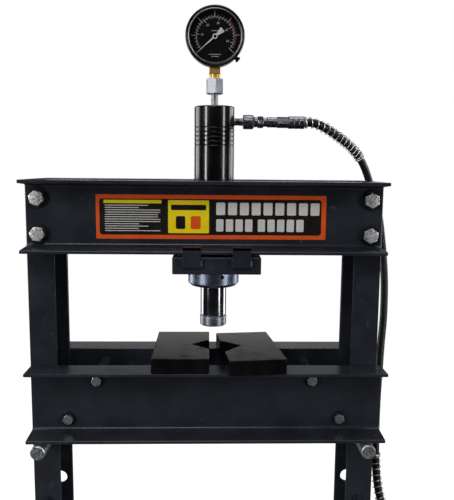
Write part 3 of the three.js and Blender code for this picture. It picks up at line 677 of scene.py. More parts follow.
low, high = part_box("ring_nut")
ring_radius = (high.x - low.x) / 2
ring = turned(rounded([
    (30.6 * mm, high.z), (30.6 * mm, low.z + 5.7 * mm), (24.5 * mm, low.z + 5.7 * mm),
    (24.5 * mm, low.z), (ring_radius - 5.2 * mm, low.z, 0.8 * mm),
    (ring_radius, low.z + 5.2 * mm, 1.2 * mm),
    (ring_radius, high.z - 1.2 * mm, 0.6 * mm), (ring_radius - 1.2 * mm, high.z, 0.3 * mm),
], closed=False), steps=96, closed=True)
spanner_holes = []
for quarter in range(4):
    drill = moved(moved(rod(3.4 * mm, ring_radius - 8 * mm, ring_radius + 4 * mm, 24), to_x),
                  Matrix.Rotation(math.radians(-70.5 + 90 * quarter), 4, "Z"))
    spanner_holes.append(moved(drill, Matrix.Translation((0, 0, (low.z + high.z) / 2 + 3 * mm))))
ring = combined(ring, joined(*spanner_holes))
piece(
    "spanner_ring_nut", moved(ring, Matrix.Translation((head_x, 0, 0))), blued_steel, "head",
    ["ring_nut"],
)


# ---------- cylinder ----------
# A seamless steel cylinder with a closed top, five fine grooves round it and the oil port above them.
# It is finished in gloss black stove enamel, which mirrors the lamps in narrow streaks.

gloss_enamel, tree, shader = surface(
    "gloss_black_stove_enamel", {"Coat Weight": 0.6, "Coat Roughness": 0.06},
)
mottle(tree, shader, 40 * mm, "#050506", "#09090b", rough=(0.16, 0.26), bump=0.03 * mm, grain=4 * mm)

barrel_radius = (cylinder_high.x - cylinder_low.x) / 2
neck_radius, bore_radius, bore_top = 30 * mm, 26 * mm, cylinder_high.z - 17 * mm
groove_top, groove_pitch, groove_count = 1556 * mm, 7.6 * mm, 5
groove_half, groove_depth = 1.2 * mm, 1.1 * mm
groove_points = []
for number in reversed(range(groove_count)):
    height = groove_top - number * groove_pitch
    groove_points += [
        (barrel_radius, height - groove_half, 0.3 * mm), (barrel_radius - groove_depth, height, 0.4 * mm),
        (barrel_radius, height + groove_half, 0.3 * mm),
    ]
cylinder = turned(rounded([
    (0, bore_top), (bore_radius, bore_top), (bore_radius, cylinder_low.z), (neck_radius, cylinder_low.z),
    (neck_radius, block_top + 0.3 * mm), (barrel_radius, block_top + 0.3 * mm, 0.8 * mm), *groove_points,
    (barrel_radius, cylinder_high.z, 2.6 * mm), (11 * mm, cylinder_high.z, 0.5 * mm),
    (10.4 * mm, cylinder_high.z - 1.2 * mm), (0, cylinder_high.z - 1.2 * mm),
], steps=6), steps=96)
port_z = (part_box("port_nipple")[0].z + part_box("port_nipple")[1].z) / 2
port = moved(
    moved(rod(6.8 * mm, barrel_radius - 12 * mm, barrel_radius + 5 * mm), to_x),
    Matrix.Translation((0, 0, port_z)),
)
inlet = rod(6.7 * mm, bore_top - 2 * mm, cylinder_high.z + 5 * mm)
cylinder = combined(cylinder, joined(port, inlet))
piece(
    "enamelled_cylinder", moved(cylinder, Matrix.Translation((head_x, 0, 0))), gloss_enamel,
    "head", ["cylinder_body"],
)

# Leaded bronze, turned: the gland bush that guides the ram, and the piston's bearing ring.
bronze, tree, shader = surface("turned_leaded_bronze", {"Metallic": 1.0})
mottle(tree, shader, 8 * mm, "#9a7445", "#b58c58", rough=(0.28, 0.4))
for cad_node in ("gland_bush", "piston"):
    cad_object = bpy.data.objects[cad_node]
    cad_object.data.materials.clear()
    cad_object.data.materials.append(bronze)


# ---------- ram ----------
# A ground and hard-chromed hollow steel ram with a loose pressing cap on its end.
# A long coil spring inside it pulls it back up when the release valve is opened.

hard_chrome, tree, shader = surface("ground_hard_chrome", {"Metallic": 1.0})
mottle(tree, shader, 30 * mm, "#9a9ca2", "#b9bbc0", rough=(0.1, 0.17))

low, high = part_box("ram_rod")
ram_radius = (high.x - low.x) / 2
ram = turned(rounded([
    (0, low.z), (ram_radius, low.z, 1.2 * mm), (ram_radius, high.z, 0.5 * mm), (14 * mm, high.z),
    (14 * mm, low.z + 30 * mm), (0, low.z + 30 * mm),
]), steps=96)
piece(
    "chromed_ram", moved(ram, Matrix.Translation((head_x, 0, 0))), hard_chrome, "ram",
    ["ram_rod"],
)
low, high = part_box("ram_cap")
cap_radius = (high.x - low.x) / 2
cap = turned(rounded([
    (0, low.z), (cap_radius - 2 * mm, low.z, 0.8 * mm), (cap_radius, low.z + 2 * mm, 0.8 * mm),
    (cap_radius, high.z - 2 * mm, 0.8 * mm), (cap_radius - 2 * mm, high.z, 0.8 * mm), (0, high.z),
]), steps=96)
# Turned bare steel: the lathe's rings run round it, drawn 1.5 mm apart so that they show.
turned_steel, tree, shader = surface("turned_bare_steel", {"Metallic": 1.0})
mottle(
    tree, shader, 9 * mm, "#8d939f", "#c6ccd8", rough=(0.32, 0.44), bump=0.06 * mm, grain=9 * mm,
    stretch=(0.3, 0.3, 6),
)
piece(
    "pressing_cap", moved(cap, Matrix.Translation((head_x, 0, 0))), turned_steel, "ram",
    ["ram_cap"],
)

# the real spring hangs from the cylinder's head and its foot moves with the ram, so it opens and closes;
# this coil keeps one length and is fixed to no body
low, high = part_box("return_spring")
coil_radius, coil_wire, coil_turns, steps_a_turn = 10 * mm, 1.5 * mm, 9, 24
coil_bottom, coil_rise = low.z + coil_wire, high.z - low.z - 2 * coil_wire
coil_path = []
for step in range(coil_turns * steps_a_turn + 1):
    angle = 2 * math.pi * step / steps_a_turn
    height = coil_bottom + coil_rise * step / (coil_turns * steps_a_turn)
    coil_path.append(
        Vector((head_x + coil_radius * math.cos(angle), coil_radius * math.sin(angle), height))
    )
return_coil = piece(
    "return_spring_coil", tube(coil_path, [coil_wire] * len(coil_path), 10), spring_wire,
    None, ["return_spring"],
)
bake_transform(return_coil)


# ---------- gauge pipe ----------
# A nickel-bright steel pipe, a hexagon coupler and a brass connector carry the gauge on the cylinder.
# The connector is square above, for a spanner, and round with a few knurled rings below.

low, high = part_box("gauge_stem")
stem_radius = (high.x - low.x) / 2
stem = turned(
    [(2.5 * mm, low.z), (stem_radius, low.z), (stem_radius, high.z), (2.5 * mm, high.z)], closed=True,
)
stem = moved(stem, Matrix.Translation((head_x, 0, 0)))
smooth_zinc, tree, shader = surface("smooth_zinc_plate", {"Metallic": 1.0})
mottle(tree, shader, 12 * mm, "#84868c", "#a9abaf", rough=(0.4, 0.5))
piece("gauge_pipe", stem, smooth_zinc, "head", ["gauge_stem"])

low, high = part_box("hex_coupler")
coupler = hexagon(27 * mm, low.z, high.z)
coupler = combined(coupler, rod(stem_radius + 0.2 * mm, 0, 3))
piece(
    "hexagon_coupler", moved(coupler, Matrix.Translation((head_x, 0, 0)) @ Matrix.Rotation(0.1, 4, "Z")),
    smooth_zinc, "head", ["hex_coupler"],
)

brass, tree, shader = surface("machined_brass", {"Metallic": 1.0})
mottle(tree, shader, 7 * mm, "#cca044", "#f4d082", rough=(0.32, 0.46), bump=0.1 * mm, grain=1.5 * mm)
low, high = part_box("gauge_connector")
square_half, collar_radius = (high.x - low.x) / 2, 9.4 * mm
coupler_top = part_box("hex_coupler")[1].z
collar_top = coupler_top + 7.5 * mm
collar_rings = []
for number in range(3):
    height = coupler_top + (0.4 + 2.2 * number) * mm
    collar_rings += [
        (collar_radius, height), (collar_radius, height + 1.5 * mm),
        (collar_radius - 0.7 * mm, height + 1.8 * mm),
    ]
collar = turned([(0, low.z), (5.6 * mm, low.z), (5.6 * mm, coupler_top + 0.3 * mm), *collar_rings,
                 (collar_radius - 0.7 * mm, collar_top), (0, collar_top)])
square = block(
    (-square_half, -square_half, collar_top - 0.5 * mm), (square_half, square_half, high.z),
    edge=1.2 * mm, segments=3,
)
connector = moved(joined(collar, square), Matrix.Translation((head_x, 0, 0)))
piece("brass_connector", connector, brass, "head", ["gauge_connector"])


# ---------- pressure gauge ----------
# A 100 mm dial gauge: a pressed black case, a rolled bezel with a bright inner ring, and a flat glass.
# The black dial is printed with two white scales of 260 degrees and a dark red band at their top end.

case_low, case_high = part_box("gauge_case")
gauge_x, gauge_z = (case_low.x + case_high.x) / 2, (case_low.z + case_high.z) / 2
case_radius, case_front, case_back = (case_high.x - case_low.x) / 2, case_low.y, case_high.y
to_gauge = Matrix.Translation((gauge_x, 0, gauge_z)) @ to_y
dial_radius = 45 * mm
dial_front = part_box("gauge_dial")[0].y
dial_centre = Matrix.Translation((gauge_x, dial_front, gauge_z))

case_black, tree, shader = surface(
    "gloss_black_painted_case",
    {"Specular IOR Level": 0.3, "Coat Weight": 0.1, "Coat Roughness": 0.08},
)
mottle(tree, shader, 25 * mm, "#050506", "#0b0b0c", rough=(0.16, 0.26))
case = turned(rounded([
    (0, case_back - 3 * mm), (case_radius - 3.5 * mm, case_back - 3 * mm),
    (case_radius - 3.5 * mm, case_front + 8 * mm),
    (case_radius - 1.2 * mm, case_front + 8 * mm, 1 * mm),
    (case_radius - 1.2 * mm, case_back - 4 * mm, 5 * mm),
    (case_radius - 8 * mm, case_back, 3 * mm), (0, case_back),
]), steps=96)
piece("gauge_case_cup", moved(case, to_gauge), case_black, "head", ["gauge_case"])
bezel = turned(rounded([
    (case_radius - 4.2 * mm, case_front + 1 * mm, 0.8 * mm), (case_radius - 2 * mm, case_front, 1.6 * mm),
    (case_radius, case_front + 3 * mm, 2 * mm), (case_radius, case_front + 11 * mm, 0.8 * mm),
    (case_radius - 1 * mm, case_front + 12 * mm, 0.4 * mm), (case_radius - 4.2 * mm, case_front + 12 * mm),
]), steps=96, closed=True)
piece("gauge_bezel", moved(bezel, to_gauge), case_black, "head")
lip = turned(rounded([
    (dial_radius - 1 * mm, case_front + 0.3 * mm, 0.3 * mm),
    (case_radius - 4.6 * mm, case_front + 1.5 * mm, 0.4 * mm),
    (case_radius - 4 * mm, case_front + 1.7 * mm, 0.2 * mm), (case_radius - 4 * mm, case_front + 9.5 * mm),
    (dial_radius - 1 * mm, case_front + 9.5 * mm),
]), steps=96, closed=True)
piece("bezel_inner_ring", moved(lip, to_gauge), smooth_zinc, "head")

plug = turned(rounded([
    (0, case_radius - 3 * mm), (3.4 * mm, case_radius - 3 * mm), (3.4 * mm, case_radius + 1 * mm),
    (5 * mm, case_radius + 1 * mm, 1 * mm), (5 * mm, case_radius + 5 * mm, 1.5 * mm),
    (0, case_radius + 5 * mm),
]), steps=32)
# rubber blow-out plug on the rim, low on the right
plug_centre = Matrix.Translation((gauge_x, case_front + 22 * mm, gauge_z))
plug = moved(plug, plug_centre @ Matrix.Rotation(math.radians(42), 4, "Y") @ to_x)
piece("gauge_vent_plug", plug, hose_rubber, "head")

dial_black, tree, shader = surface("matt_black_dial_enamel", {"Specular IOR Level": 0.12})
mottle(tree, shader, 20 * mm, "#040405", "#080809", rough=(0.6, 0.7))
dial_white, tree, shader = surface("white_dial_ink", {"Roughness": 0.5})
mottle(tree, shader, 5 * mm, "#aeaeac", "#c6c6c4", rough=(0.5, 0.6))
dial_red, tree, shader = surface("dark_red_dial_ink", {"Roughness": 0.5})
mottle(tree, shader, 5 * mm, "#520a18", "#62101f", rough=(0.5, 0.6))

face = turned(
    [
        (1.5 * mm, dial_front), (dial_radius, dial_front), (dial_radius, dial_front + 1.5 * mm),
        (1.5 * mm, dial_front + 1.5 * mm),
    ],
    steps=96, closed=True,
)
piece("dial_face", moved(face, to_gauge), dial_black, "head", ["gauge_dial"])

scale_start, scale_sweep = 221.0, -260.0  # degrees, measured from +X towards +Z
ink = 0.12 * mm


def on_dial(angle, radius):
    """The place on the dial at an angle and a radius, turned so that +X points outwards."""
    spot = dial_centre @ Matrix.Rotation(-math.radians(angle), 4, "Y")
    return spot @ Matrix.Translation((radius, 0, 0))


def tick(angle, start, end, width):
    """One printed line across a scale."""
    mark = bmesh.new()
    bmesh.ops.create_cube(mark, size=1, matrix=Matrix.Diagonal((end - start, 2 * ink, width, 1)))
    return moved(mark, on_dial(angle, (start + end) / 2))


def arc(radius, width, start, sweep, thickness=ink):
    """A printed band round part of the dial."""
    bm = bmesh.new()
    rim = [
        bm.verts.new((radius + a * width / 2, 0, b * thickness))
        for a, b in ((-1, -1), (1, -1), (1, 1), (-1, 1))
    ]
    section = bm.faces.new(rim)
    steps = max(6, int(abs(sweep) / 4))
    bmesh.ops.spin(
        bm, geom=[section], axis=(0, 0, 1), cent=(0, 0, 0), angle=-math.radians(sweep), steps=steps,
        use_merge=False,
    )
    bmesh.ops.recalc_face_normals(bm, faces=bm.faces)
    place = dial_centre @ to_y @ Matrix.Rotation(-math.radians(start), 4, "Z")
    return moved(bm, place)


def numeral(text, angle, radius, height):
    """A printed number standing upright at an angle and a radius."""
    curve = bpy.data.curves.new("numeral", "FONT")
    curve.body = text
    curve.size = height
    curve.align_x, curve.align_y = "CENTER", "CENTER"
    curve.extrude = ink
    temporary = bpy.data.objects.new("numeral", curve)
    bpy.context.scene.collection.objects.link(temporary)
    bm = bmesh.new()
    evaluated = temporary.evaluated_get(bpy.context.evaluated_depsgraph_get())
    bm.from_mesh(evaluated.to_mesh())
    evaluated.to_mesh_clear()
    bpy.data.objects.remove(temporary, do_unlink=True)
    spot = on_dial(angle, radius).to_translation()
    return moved(bm, Matrix.Translation(spot) @ Matrix.Rotation(math.pi / 2, 4, "X"))


scale_radius = 32.2 * mm
printed = [arc(scale_radius, 0.5 * mm, scale_start, scale_sweep)]
for mark in range(31):
    angle = scale_start + scale_sweep * mark / 30
    reach, width = (6.2, 1.0) if mark % 5 == 0 else (3.0, 0.6)
    printed.append(tick(angle, scale_radius, scale_radius + reach * mm, width * mm))
for mark in range(28):
    angle = scale_start - 9.6 * mark
    reach, width = (5.0, 0.9) if mark % 5 == 0 else (2.6, 0.6)
    printed.append(tick(angle, scale_radius - reach * mm, scale_radius, width * mm))
for number in range(1, 6):
    printed.append(numeral(str(10 * number), scale_start - 48 * number, 22.5 * mm, 5.2 * mm))
for number in range(7):
    printed.append(numeral(str(number), scale_start + scale_sweep * number / 6, 40.6 * mm, 3.6 * mm))
# plain bars where a maker prints the unit and the grade
for height, width in ((9.6, 12), (-29.5, 21), (-33.0, 13)):
    bar = bmesh.new()
    bmesh.ops.create_cube(bar, size=1, matrix=Matrix.Diagonal((width * mm, 2 * ink, 0.8 * mm, 1)))
    printed.append(moved(bar, Matrix.Translation((gauge_x, dial_front, gauge_z + height * mm))))
piece("dial_print_white", joined(*printed), dial_white, "head")
piece("dial_print_red", arc(35.0 * mm, 3.4 * mm, 48, -80, ink * 0.6), dial_red, "head")

needle_metal, tree, shader = surface("satin_aluminium_pointer", {"Metallic": 0.3})
mottle(tree, shader, 6 * mm, "#d8d8d6", "#ecece9", rough=(0.35, 0.45))
low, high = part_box("gauge_needle")
blade_thickness, tip, hub_radius, tail = 0.8 * mm, 38.5 * mm, 4.4 * mm, 17.5 * mm
blade = drawn_out(rounded([
    (tip, 0, 0.3 * mm), (3 * mm, 1.5 * mm), (-3 * mm, 1.6 * mm), (-tail, 5 * mm, 0.6 * mm),
    (-tail, -5 * mm, 0.6 * mm), (-3 * mm, -1.6 * mm), (3 * mm, -1.5 * mm),
], closed=True), blade_thickness)
hub_washer = turned(rounded([
    (2.6 * mm, 0.9 * mm), (2.6 * mm, -0.9 * mm, 0.2 * mm), (hub_radius, -0.9 * mm, 0.4 * mm),
    (hub_radius, 0.9 * mm),
]), steps=48, closed=True)
pointer_centre = Matrix.Translation((gauge_x, dial_front - 2 * mm, gauge_z))
pointer_place = pointer_centre @ Matrix.Rotation(-math.radians(scale_start), 4, "Y")
pointer = joined(moved(blade, Matrix.Rotation(math.pi / 2, 4, "X")), moved(hub_washer, to_y))
piece(
    "dial_pointer", moved(pointer, pointer_place), needle_metal, "needle",
    ["gauge_needle"],
)
stud = turned(
    rounded([(0, -1.3 * mm), (2.5 * mm, -1.3 * mm, 0.5 * mm), (2.5 * mm, 2.2 * mm), (0, 2.2 * mm)]),
    steps=32,
)
piece("pointer_stud", moved(moved(stud, to_y), pointer_place), case_black, "needle")

# Flat window glass, 2 mm: nearly all seen through, with a weak clean reflection.
window_glass = surface(
    "flat_gauge_glass", {"Alpha": 0.05, "Roughness": 0.03, "Base Color": linear("#0a0c0e")},
)[0]
glass_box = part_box("gauge_lens")
pane = turned(rounded([
    (0, glass_box[0].y), (dial_radius - 0.2 * mm, glass_box[0].y, 0.4 * mm),
    (dial_radius - 0.2 * mm, glass_box[1].y, 0.4 * mm), (0, glass_box[1].y),
]), steps=96)
piece("gauge_window", moved(pane, to_gauge), window_glass, "head", ["gauge_lens"])


# ---------- oil port and hose coupling ----------
# A steel nipple screwed into the cylinder, a quick coupling in two halves and the hose's swaged ferrule.
# They are turned from bar, zinc finished and darkened with oil.

fitting_steel, tree, shader = surface("oiled_zinc_finished_steel", {"Metallic": 1.0})
mottle(tree, shader, 5 * mm, "#55575c", "#8b8d92", rough=(0.24, 0.4), bump=0.15 * mm, grain=1.5 * mm)
to_port = Matrix.Translation((head_x, 0, port_z)) @ to_x


def fitting(name, cad_node, outline, extra=()):
    """A turned fitting along X from the ram's axis, in the place of its CAD node."""
    body = turned(
        rounded([(r * mm, h * mm, (edge[0] if edge else 0) * mm) for r, h, *edge in outline]),
        closed=True,
    )
    whole = moved(joined(body, *extra), to_port)
    piece(name, whole, fitting_steel, "head", [cad_node])


port_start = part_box("port_nipple")[0].x - head_x
fitting("screwed_port_nipple", "port_nipple", [
    (3, port_start / mm), (6.4, port_start / mm), (6.4, 38), (5.6, 38.6), (6.4, 39.4), (5.6, 40.2),
    (6.4, 41),
    (5.6, 41.8), (6.4, 42.6), (6.4, 49.4), (3, 49.4),
])
fitting("coupling_sleeve", "coupler_socket", [
    (3, 49.8), (11.2, 49.8, 0.4), (12.3, 51, 0.5), (12.3, 66.4, 1), (9, 69.2, 0.6), (8.6, 69.4, 0.2),
    (8.6, 74.8), (3, 74.8),
])
knurl = [point for i in range(5) for point in ((10.4, 76.6 + 1.7 * i), (9.8, 77.45 + 1.7 * i))]
fitting("coupling_plug_half", "coupler_plug", [
    (3, 75.2), (9.6, 75.2, 0.3), *knurl, (9.6, 84.9, 0.3), (7.6, 85.2), (7.6, 91.2), (8.8, 92.4, 0.4),
    (8.8, 108.3), (3, 108.3),
])
swivel_hex = hexagon(17.2 * mm, 108.8 * mm, 129.3 * mm, turn=0.3)
fitting("swaged_upper_ferrule", "upper_ferrule", [
    (3, 128.6), (9.6, 128.6, 0.3), (10.7, 129.8, 0.6), (10.7, 138), (10.2, 139, 0.4), (10.7, 140),
    (10.7, 147),
    (10.2, 148, 0.4), (10.7, 149), (10.7, 157.2, 0.8), (3, 157.2),
], extra=[swivel_hex])


# ---------- label ----------
# A printed vinyl label stuck on the front of the top beam: orange border, black field, yellow panel.
# Plain bars and blocks stand where a maker prints words, so that it says nothing.

label_low, label_high = Vector((-184, 0, 1366.8)) * mm, Vector((204.5, 0, 1441.4)) * mm
label_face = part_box("top_beam_front")[1].y - web_thickness
sheet = 0.12 * mm
layers = {
    "orange_vinyl": "#e8581a", "black_print": "#120c0a", "yellow_print": "#fbe010",
    "pale_print": "#d8d6d2",
}
inks = {}
for name, colour in layers.items():
    inks[name], tree, shader = surface(name, {"Coat Weight": 0.25, "Coat Roughness": 0.15})
    low_tone = linear(colour)
    grime = mottle(tree, shader, 30 * mm, colour, colour, rough=(0.34, 0.46))
    grime.inputs[6].default_value = [share * 0.9 for share in low_tone[:3]] + [1]


def printed_panel(left, bottom, right, top, layer, round_corner=0.0):
    """A flat printed field in the label's own millimetres, measured from its lower left corner."""
    outline = rounded(
        [
            (x * mm, y * mm, round_corner * mm)
            for x, y in ((left, bottom), (right, bottom), (right, top), (left, top))
        ],
        closed=True,
    )
    panel = moved(drawn_out(outline, sheet), Matrix.Rotation(math.pi / 2, 4, "X"))
    return moved(panel, Matrix.Translation((label_low.x, label_face - sheet * layer * 0.8, label_low.z)))


width, height = (label_high.x - label_low.x) / mm, (label_high.z - label_low.z) / mm
piece(
    "label_border", printed_panel(0, 0, width, height, 0, 1.5), inks["orange_vinyl"], "frame",
)
piece(
    "label_field", printed_panel(6, 7, width - 8, height - 7, 1, 5), inks["black_print"], "frame",
)
yellow = joined(printed_panel(13, 60, 110, height - 9, 2), printed_panel(121, 10, 190, height - 9, 2, 1.5))
piece("label_yellow", yellow, inks["yellow_print"], "frame")
random.seed(9)
bars = []
for row in range(12):
    row_height = 56 - 3.9 * row
    row_end = random.choice((108, 104, 108, 88, 72))
    bars.append(printed_panel(15, row_height, row_end, row_height + 1.3, 2))
for word, bottom in ((range(9), 41), (range(9), 13)):
    for letter in word:
        left = 202 + 19.6 * letter + (6 if bottom < 20 and letter > 3 else 0)
        narrow = 0.82 if bottom < 20 else 1
        left = 202 + (left - 202) * narrow * 1.02
        bars.append(printed_panel(left, bottom, left + 15.2 * narrow, bottom + 21, 2, 2))
piece("label_bars", joined(*bars), inks["pale_print"], "frame")
marks = joined(printed_panel(126, 49, 185, 58, 3, 1), printed_panel(134, 17, 150, 39, 3, 3))
piece("label_panel_marks", marks, inks["black_print"], "frame")
piece(
    "label_panel_spot", printed_panel(159, 17, 176, 39, 3, 3), inks["orange_vinyl"], "frame",
)


# ---------- feet and base crossbar ----------
# Two steel angles lie on the floor under the uprights, and a channel lies between them, open side up.
# All joints are fillet welded before painting.

for name, cad_node, outer in (("left_foot_angle", "left_foot", -1), ("right_foot_angle", "right_foot", 1)):
    low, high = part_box(cad_node)
    width, height, thickness = high.x - low.x, high.z - low.z, 6 * mm
    section = rounded([
        (0, 0, 1 * mm), (width, 0, 1.2 * mm), (width, height, 0.8 * mm),
        (width - thickness, height, 3 * mm),
        (width - thickness, thickness, 6 * mm), (0, thickness, 3 * mm),
    ], closed=True)
    angle = moved(drawn_out(section, high.y - low.y, edge=0.8 * mm), Matrix.Rotation(math.pi / 2, 4, "X"))
    angle = moved(angle, Matrix.Translation((low.x, high.y, 0)))
    if outer < 0:
        angle = moved(angle, Matrix.Translation((low.x + high.x, 0, 0)) @ Matrix.Diagonal((-1, 1, 1, 1)))
    post_low, post_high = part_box("left_post" if outer < 0 else "right_post")
    upright_face = high.x - thickness if outer > 0 else low.x + thickness
    beads = [
        weld_bead(
            (upright_face, post_low.y, height + 0.4 * mm),
            (upright_face, post_high.y, height + 0.4 * mm), 3 * mm,
        ),
    ]
    flange_edge = post_low.x if outer > 0 else post_high.x
    for y in (post_low.y, post_high.y):
        beads.append(
            weld_bead(
                (flange_edge, y, thickness + 0.5 * mm), (upright_face, y, thickness + 0.5 * mm),
                3 * mm,
            )
        )
    piece(name, joined(angle, *beads), frame_paint, "frame", [cad_node])

low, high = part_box("base_crossbar")
section = channel_outline(high.y - low.y, high.z - low.z)
axes = Matrix(((0, 0, -1), (0, 1, 0), (1, 0, 0))).to_4x4()
crossbar = moved(
    drawn_out(section, high.x - low.x, edge=0.5 * mm),
    Matrix.Translation((high.x, low.y, low.z)) @ axes,
)
beads = [
    weld_bead((x, y, low.z + 6.5 * mm), (x, y, high.z - 2 * mm), 3 * mm)
    for x in (low.x, high.x) for y in (low.y, high.y)
]
piece("base_channel", joined(crossbar, *beads), frame_paint, "frame", ["base_crossbar"])


# ---------- pump bracket ----------
# A bent and gusseted steel shelf, welded from plate and bolted to the right upright's web.
# It carries the hand pump and is painted with the frame.

low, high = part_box("pump_bracket")
plate_half, plate_thickness, shelf_top, shelf_thickness = 48 * mm, 6 * mm, 663.7 * mm, 6 * mm
plate_face = low.x + plate_thickness
parts = [
    block((low.x, -plate_half, low.z), (plate_face, plate_half, high.z), edge=1.2 * mm),
    block((low.x, low.y, shelf_top - shelf_thickness), (high.x, high.y, shelf_top), edge=1.5 * mm),
]
for y in (-plate_half + 8 * mm, plate_half - 8 * mm):
    gusset = rounded([
        (plate_face - 1 * mm, low.z + 4 * mm), (plate_face + 4 * mm, low.z + 4 * mm),
        (high.x - 14 * mm, shelf_top - shelf_thickness - 4 * mm),
        (high.x - 14 * mm, shelf_top - shelf_thickness + 1 * mm),
        (plate_face - 1 * mm, shelf_top - shelf_thickness + 1 * mm),
    ], closed=True)
    parts.append(moved(drawn_out(gusset, 6 * mm, edge=0.8 * mm),
                       Matrix.Translation((0, y + 3 * mm, 0)) @ Matrix.Rotation(math.pi / 2, 4, "X")))
    for edge in (-3 * mm, 3 * mm):
        parts.append(
            weld_bead(
                (plate_face, y + edge, low.z + 8 * mm), (plate_face, y + edge, shelf_top - 8 * mm),
            )
        )
parts.append(
    weld_bead(
        (plate_face, -plate_half + 2 * mm, shelf_top), (plate_face, plate_half - 2 * mm, shelf_top),
    )
)
piece("welded_pump_shelf", joined(*parts), frame_paint, "frame", ["pump_bracket"])

for number, (y, z) in enumerate(((-34, 727), (34, 727), (-34, 612), (34, 612)), start=1):
    head = hexagon(13 * mm, 0, 5.3 * mm, both=False, turn=0.4 * number)
    washer = turned(
        rounded([(4.2 * mm, 0), (9 * mm, 0), (9 * mm, 1.3 * mm, 0.3 * mm), (4.2 * mm, 1.3 * mm)]),
        steps=32, closed=True,
    )
    screw = joined(moved(head, Matrix.Translation((0, 0, 1.2 * mm))), washer)
    place = Matrix.Translation((plate_face - 0.1 * mm, y * mm, z * mm)) @ to_x
    piece(f"shelf_screw_{number}", moved(screw, place), bolt_metal, "frame")


# ---------- hand pump ----------
# A cast iron pump block in black enamel, with the plunger's barrel and the handle's two lugs on top.
# Behind it a round oil tank, drawn from sheet with a rolled seam and a filler plug.

low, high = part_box("pump_body")
pump_x = (low.x + high.x) / 2
pin_low, pin_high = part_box("pump_pivot_pin")
pivot = Vector((pump_x, (pin_low.y + pin_high.y) / 2, (pin_low.z + pin_high.z) / 2))
half_block, body_top, barrel_y = 30 * mm, 754 * mm, -62 * mm
body = block((-half_block, low.y, low.z), (half_block, high.y, body_top), edge=5 * mm, segments=4)
tower_profile = rounded([
    (0, body_top - 4 * mm), (17 * mm, body_top - 4 * mm), (17 * mm, body_top + 3 * mm, 1.5 * mm),
    (14 * mm, body_top + 4 * mm, 1.5 * mm), (14 * mm, body_top + 12 * mm, 1.5 * mm),
    (0, body_top + 12 * mm),
])
tower = moved(turned(tower_profile), Matrix.Translation((0, barrel_y, 0)))
body = combined(body, tower, "UNION")
for side in (-1, 1):
    span = sorted((side * 9.3 * mm, side * 15.3 * mm))
    cheek = block(
        (span[0], pivot.y - 12 * mm, body_top - 6 * mm), (span[1], pivot.y + 12 * mm, pivot.z),
        edge=0.8 * mm,
    )
    eye = moved(moved(rod(12 * mm, span[0], span[1], 48), to_x), Matrix.Translation((0, pivot.y, pivot.z)))
    body = combined(combined(body, cheek, "UNION"), eye, "UNION")
plunger_bore = moved(
    rod(8.6 * mm, body_top - 61 * mm, body_top + 20 * mm), Matrix.Translation((0, barrel_y, 0)),
)
pivot_bore = moved(
    moved(rod(5.3 * mm, -40 * mm, 40 * mm, 32), to_x), Matrix.Translation((0, pivot.y, pivot.z)),
)
body = combined(body, joined(plunger_bore, pivot_bore))
piece(
    "cast_pump_block", moved(body, Matrix.Translation((pump_x, 0, 0))), gloss_enamel, "frame",
    ["pump_body"],
)

pin = turned(rounded([
    (0, pin_low.x), (5 * mm, pin_low.x, 0.8 * mm), (5 * mm, pin_high.x, 0.8 * mm), (0, pin_high.x),
]), steps=32)
piece(
    "handle_pivot_pin", moved(moved(pin, to_x), Matrix.Translation((0, pivot.y, pivot.z))),
    smooth_zinc, "frame", ["pump_pivot_pin"],
)

low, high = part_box("pump_reservoir")
tank_radius, tank_z = (high.x - low.x) / 2, (low.z + high.z) / 2
tank = turned(rounded([
    (0, low.y), (tank_radius - 1.5 * mm, low.y, 1 * mm), (tank_radius, low.y + 3 * mm, 1.5 * mm),
    (tank_radius, low.y + 6 * mm, 1 * mm), (tank_radius - 1.6 * mm, low.y + 8 * mm, 1 * mm),
    (tank_radius - 1.6 * mm, high.y - 8 * mm, 1 * mm), (tank_radius, high.y - 6 * mm, 1 * mm),
    (tank_radius, high.y - 2 * mm, 1.8 * mm), (tank_radius - 5 * mm, high.y, 1.5 * mm),
    (tank_radius - 7 * mm, high.y - 2 * mm, 1 * mm), (0, high.y - 2 * mm),
]), steps=72)
piece(
    "drawn_oil_tank", moved(moved(tank, to_y), Matrix.Translation((pump_x, 0, tank_z))), gloss_enamel,
    "frame", ["pump_reservoir"],
)
boss = turned(rounded([(0, 0), (10 * mm, 0), (10 * mm, 5 * mm, 1 * mm), (0, 5 * mm)]), steps=40)
plug_head = hexagon(14 * mm, 5 * mm, 11 * mm, both=False)
filler_place = Matrix.Translation((pump_x, 118 * mm, tank_z + tank_radius - 3.5 * mm))
piece("oil_filler_plug", moved(joined(boss, plug_head), filler_place), smooth_zinc, "frame")

low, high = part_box("pump_plunger")
plunger = turned(rounded([
    (0, low.z), (8 * mm, low.z, 0.5 * mm), (8 * mm, high.z - 3 * mm, 1.5 * mm),
    (5 * mm, high.z, 1.5 * mm), (0, high.z),
]), steps=48)
piece(
    "pump_plunger_rod", moved(plunger, Matrix.Translation((pump_x, barrel_y, 0))), hard_chrome,
    "plunger", ["pump_plunger"],
)

